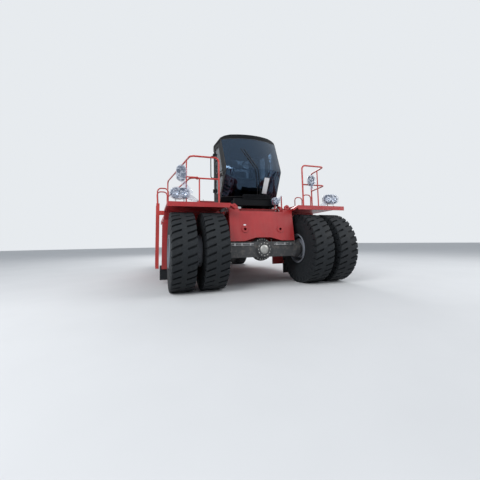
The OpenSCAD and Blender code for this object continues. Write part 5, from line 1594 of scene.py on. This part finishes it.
def make_air_cleaner_details():
    bands, ducts = Shape(), Shape()
    place = around(at(0, CLEANER_Y, CLEANER_Z))
    for x in (-3.150, -2.760):
        bands.band(place(x, 0, 0), AHEAD, 0.1905, 0.196, 0.060, 56)
        bands.bolts([place(x + 0.030, y, -0.150) for y in (-0.150, 0.150)], -UP, 0.010, 0.014)
    for x in (-3.235, -2.640):
        bands.hoop(place(x, 0, 0), AHEAD, [(0, 0.1905), (0.004, 0.197), (0.016, 0.197), (0.020, 0.1905)], 56)
    for point in circle_points(place(-2.630, 0, 0), AHEAD, 0.199, 4, EIGHTH_TURN):
        bands.box(point - Vector((0.02, 0.016, 0.016)), point + Vector((0.055, 0.016, 0.016)))
    for i in range(24):
        a = math.tau * i / 24
        x, y = INTAKE_X + 0.112 * math.cos(a), CLEANER_Y + 0.112 * math.sin(a)
        bands.rod(at(x, y, 2.425), at(x, y, 2.478), 0.005, 8)
    clamp_ring = [(0, 0.0705), (0.002, 0.076), (0.028, 0.076), (0.030, 0.0705)]
    ducts.hoop(at(INTAKE_X, CLEANER_Y, 2.300), UP, clamp_ring, 36)
    lid = [(0, 0.105), (0.010, 0.098), (0.022, 0.060), (0.026, 0.0)]
    ducts.turned(at(INTAKE_X, CLEANER_Y, 2.484), UP, lid, 36)
    inner_y = EXHAUST[1] - CLEANER_Y
    way = [place(-3.160, 0, 0), place(-3.348, 0, 0), place(-3.348, inner_y, 0), place(-3.540, inner_y, 0)]
    ducts.tube(way, 0.072, 28, bend=0.090)
    for x, y in ((-3.262, 0), (-3.452, inner_y)):
        bands.band(place(x, y, 0), AHEAD, 0.0725, 0.078, 0.014, 40)
    pieces(("air_cleaner_bands", bands, ZINC), ("air_cleaner_ducts", ducts, SEAL))


def make_tank_details():
    caps, gauges, tubes, welds = Shape(), Shape(), Shape(), Shape()
    cap = [(0, 0.070), (0.006, 0.066), (0.012, 0.064), (0.014, 0.040), (0.014, 0)]
    for sign in SIDES:
        out = (0, sign, 0)
        near = around(at(-2.330, sign * 2.018, 1.410))
        caps.turned(near(0, 0, 0), out, cap, 40)
        for point in circle_points(near(0, -sign * 0.009, 0), out, 0.0785, 24):
            caps.rod(point - Vector(out) * 0.008, point + Vector(out) * 0.008, 0.004, 8)
        caps.box(near(-0.045, 0, -0.008), near(0.045, sign * 0.032, 0.008))
        for x in (-3.965, -2.805):
            for z in (0.870, 0.930):
                welds.rod(at(x, sign * 0.856, z), at(x, sign * 0.846, z), 0.010, 12)
            caps.bolt(at(x, sign * 1.969, 1.095), out, 0.016, 0.018)
            caps.rod(at(x, sign * 1.972, 1.020), at(x, sign * 1.972, 1.170), 0.007, 12)
        caps.bolts([at(x, sign * 1.400, 0.560) for x in (-3.300, -4.400)], -UP, 0.022, 0.020)
        outline = rounded_outline((1.409, 1.095), (0.545, 0.529), 0.086, 6)
        for x in (-4.618, -2.002):
            welds.weld(closed_loop([at(x, sign * u, v) for u, v in outline]), 0.004)
    for x in (-2.640, -3.500):
        gauges.plate((x, 1.200), (0.022, 0.190), 0.010, 0.0, 0.006, on_side(1, TANK_Y), 3)
        tubes.rod(at(x, TANK_Y + 0.015, 1.045), at(x, TANK_Y + 0.015, 1.355), 0.009, 16)
        for z in (1.035, 1.365):
            nut = [(0, 0.016), (0.022, 0.016), (0.026, 0.011), (0.026, 0)]
            gauges.turned(at(x, TANK_Y + 0.002, z), (0, 1, 0), nut, 6)
    filler = [(0, 0.075), (0.012, 0.075), (0.014, 0.064), (0.060, 0.060), (0.066, 0.040), (0.068, 0)]
    for x in (-4.250, -3.950):
        caps.turned(at(x, 1.500, 1.630), UP, filler, 36)
        caps.bolt_circle(at(x, 1.500, 1.642), UP, 0.069, 6, 0.006, 0.006)
    piece("tank_caps", caps, ZINC, edge=0.001)
    pieces(("tank_gauge_backs", gauges, PLASTIC), ("tank_gauge_tubes", tubes, LENS))
    piece("tank_welds", welds, RED)


def make_counterweight_details():
    pin, eyes, lights = Shape(), Shape(), Shape()
    tow = around(at(TAIL_X + 0.100, 0, 0.640))
    pin.turned(tow(0, 0, 0), UP, [
        (-0.010, 0.018), (0.0, 0.0245), (0.322, 0.0245), (0.330, 0.020), (0.330, 0)], 28)
    pin.tube([tow(0, 0, 0.232), tow(-0.020, 0, 0.232)], 0.008, 8)
    outlines = eye_outlines(0.075, 0.060, 0.034)
    for sign in SIDES:
        near = around(at(TAIL_X + 0.300, sign * 0.980, 2.010))
        eyes.ring_plate(*outlines, -0.015, 0.015, upright(near(0, 0, 0)))
        eyes.weld([near(-0.075, sign * 0.0165, -0.058), near(0.075, sign * 0.0165, -0.058)], 0.007)
        bevel, out = at(TAIL_X + 0.030, sign * 1.290, 1.000), (-0.958, sign * 0.287, 0)
        lights.turned(bevel, out, [(-0.002, 0.048), (0.006, 0.048), (0.010, 0.040), (0.011, 0)], 36)
        eyes.hoop(bevel, out, [(-0.002, 0.050), (0.008, 0.053), (0.010, 0.050), (0.008, 0.048)], 36)
        places = [at(TAIL_X + 0.300, sign * 1.450, z) for z in (0.82, 1.10, 1.38, 1.62)]
        eyes.bolts(places, (0, sign, 0), 0.026, 0.020)
    piece("tow_pin", pin, ZINC)
    piece("counterweight_eyes", eyes, RED, edge=0.001)
    piece("rear_reflectors", lights, RED_LENS)


def make_radiator_mesh():
    wires = Shape()
    low, high, pitch, thick = (-0.405, 1.700), (0.405, 2.180), 0.0245, 0.0024
    place = facing(-6.716)
    for i in range(1, 34):
        y = low[0] + i * pitch
        wires.box(place(y - thick / 2, low[1], 0), place(y + thick / 2, high[1], thick))
    for i in range(1, 20):
        z = low[1] + i * pitch
        wires.box(place(low[0], z - thick / 2, thick), place(high[0], z + thick / 2, thick * 2))
    piece("radiator_mesh", wires, ZINC, slot="dark_plastic")


make_hood_details()
make_exhaust_details()
make_air_cleaner_details()
make_tank_details()
make_counterweight_details()
make_radiator_mesh()


# Floor, background and light

FLOOR_REACH = 60


def make_floor():
    mesh = bpy.data.meshes.new("floor")
    points = [(x * FLOOR_REACH, y * FLOOR_REACH, 0) for x, y in corners(SIDES, SIDES)]
    mesh.from_pydata(points, [], [(0, 1, 2, 3)])
    plane = bpy.data.objects.new("floor", mesh)
    bpy.context.scene.collection.objects.link(plane)
    m = Nodes("pale_floor")
    cloud = m.range(m.noise(0.6, 3), 0.3, 0.7)
    m.set(Base_Color=m.mix(cloud, (0.60, 0.61, 0.62), (0.63, 0.64, 0.65)), Roughness=0.8)
    mesh.materials.append(m.material)


def make_world():
    """A plain backdrop that camera, glossy and transmission rays see, and a softer light for the rest."""
    world = bpy.data.worlds.new("studio")
    bpy.context.scene.world = world
    world.use_nodes = True
    nodes, links = world.node_tree.nodes, world.node_tree.links
    nodes.clear()

    def background(colour, strength):
        node = nodes.new("ShaderNodeBackground")
        node.inputs["Color"].default_value = (*colour, 1)
        node.inputs["Strength"].default_value = strength
        return node.outputs[0]

    path = nodes.new("ShaderNodeLightPath")
    seen = path.outputs["Is Camera Ray"]
    for ray in ("Is Transmission Ray", "Is Glossy Ray"):
        either = nodes.new("ShaderNodeMath")
        either.operation = "MAXIMUM"
        links.new(seen, either.inputs[0])
        links.new(path.outputs[ray], either.inputs[1])
        seen = either.outputs[0]
    mixed = nodes.new("ShaderNodeMixShader")
    light = background((0.86, 0.92, 1.0), 0.55)
    backdrop = background((0.80, 0.83, 0.86), 1.0)
    for socket, value in zip(mixed.inputs, (seen, light, backdrop)):
        links.new(value, socket)
    links.new(mixed.outputs[0], nodes.new("ShaderNodeOutputWorld").inputs[0])


# Each row is a lamp's name, place, aim, size and power
LAMPS = [
    ("key", (10, -9, 9), (0, -1, 1.5), 7.0, 1300),
    ("fill", (9, 10, 7), (1, 1, 1.5), 8.0, 700),
    ("back", (-10, 3, 9), (-2, 0, 2), 7.0, 900),
]


def make_lamps():
    for name, place, aim, size, power in LAMPS:
        data = bpy.data.lights.new(name, "AREA")
        data.size, data.energy = size, power
        lamp = bpy.data.objects.new(name, data)
        bpy.context.scene.collection.objects.link(lamp)
        lamp.location = place
        lamp.rotation_euler = (Vector(aim) - Vector(place)).to_track_quat("-Z", "Y").to_euler()


make_floor()
make_world()
make_lamps()
bpy.context.scene.view_settings.view_transform = "Standard"
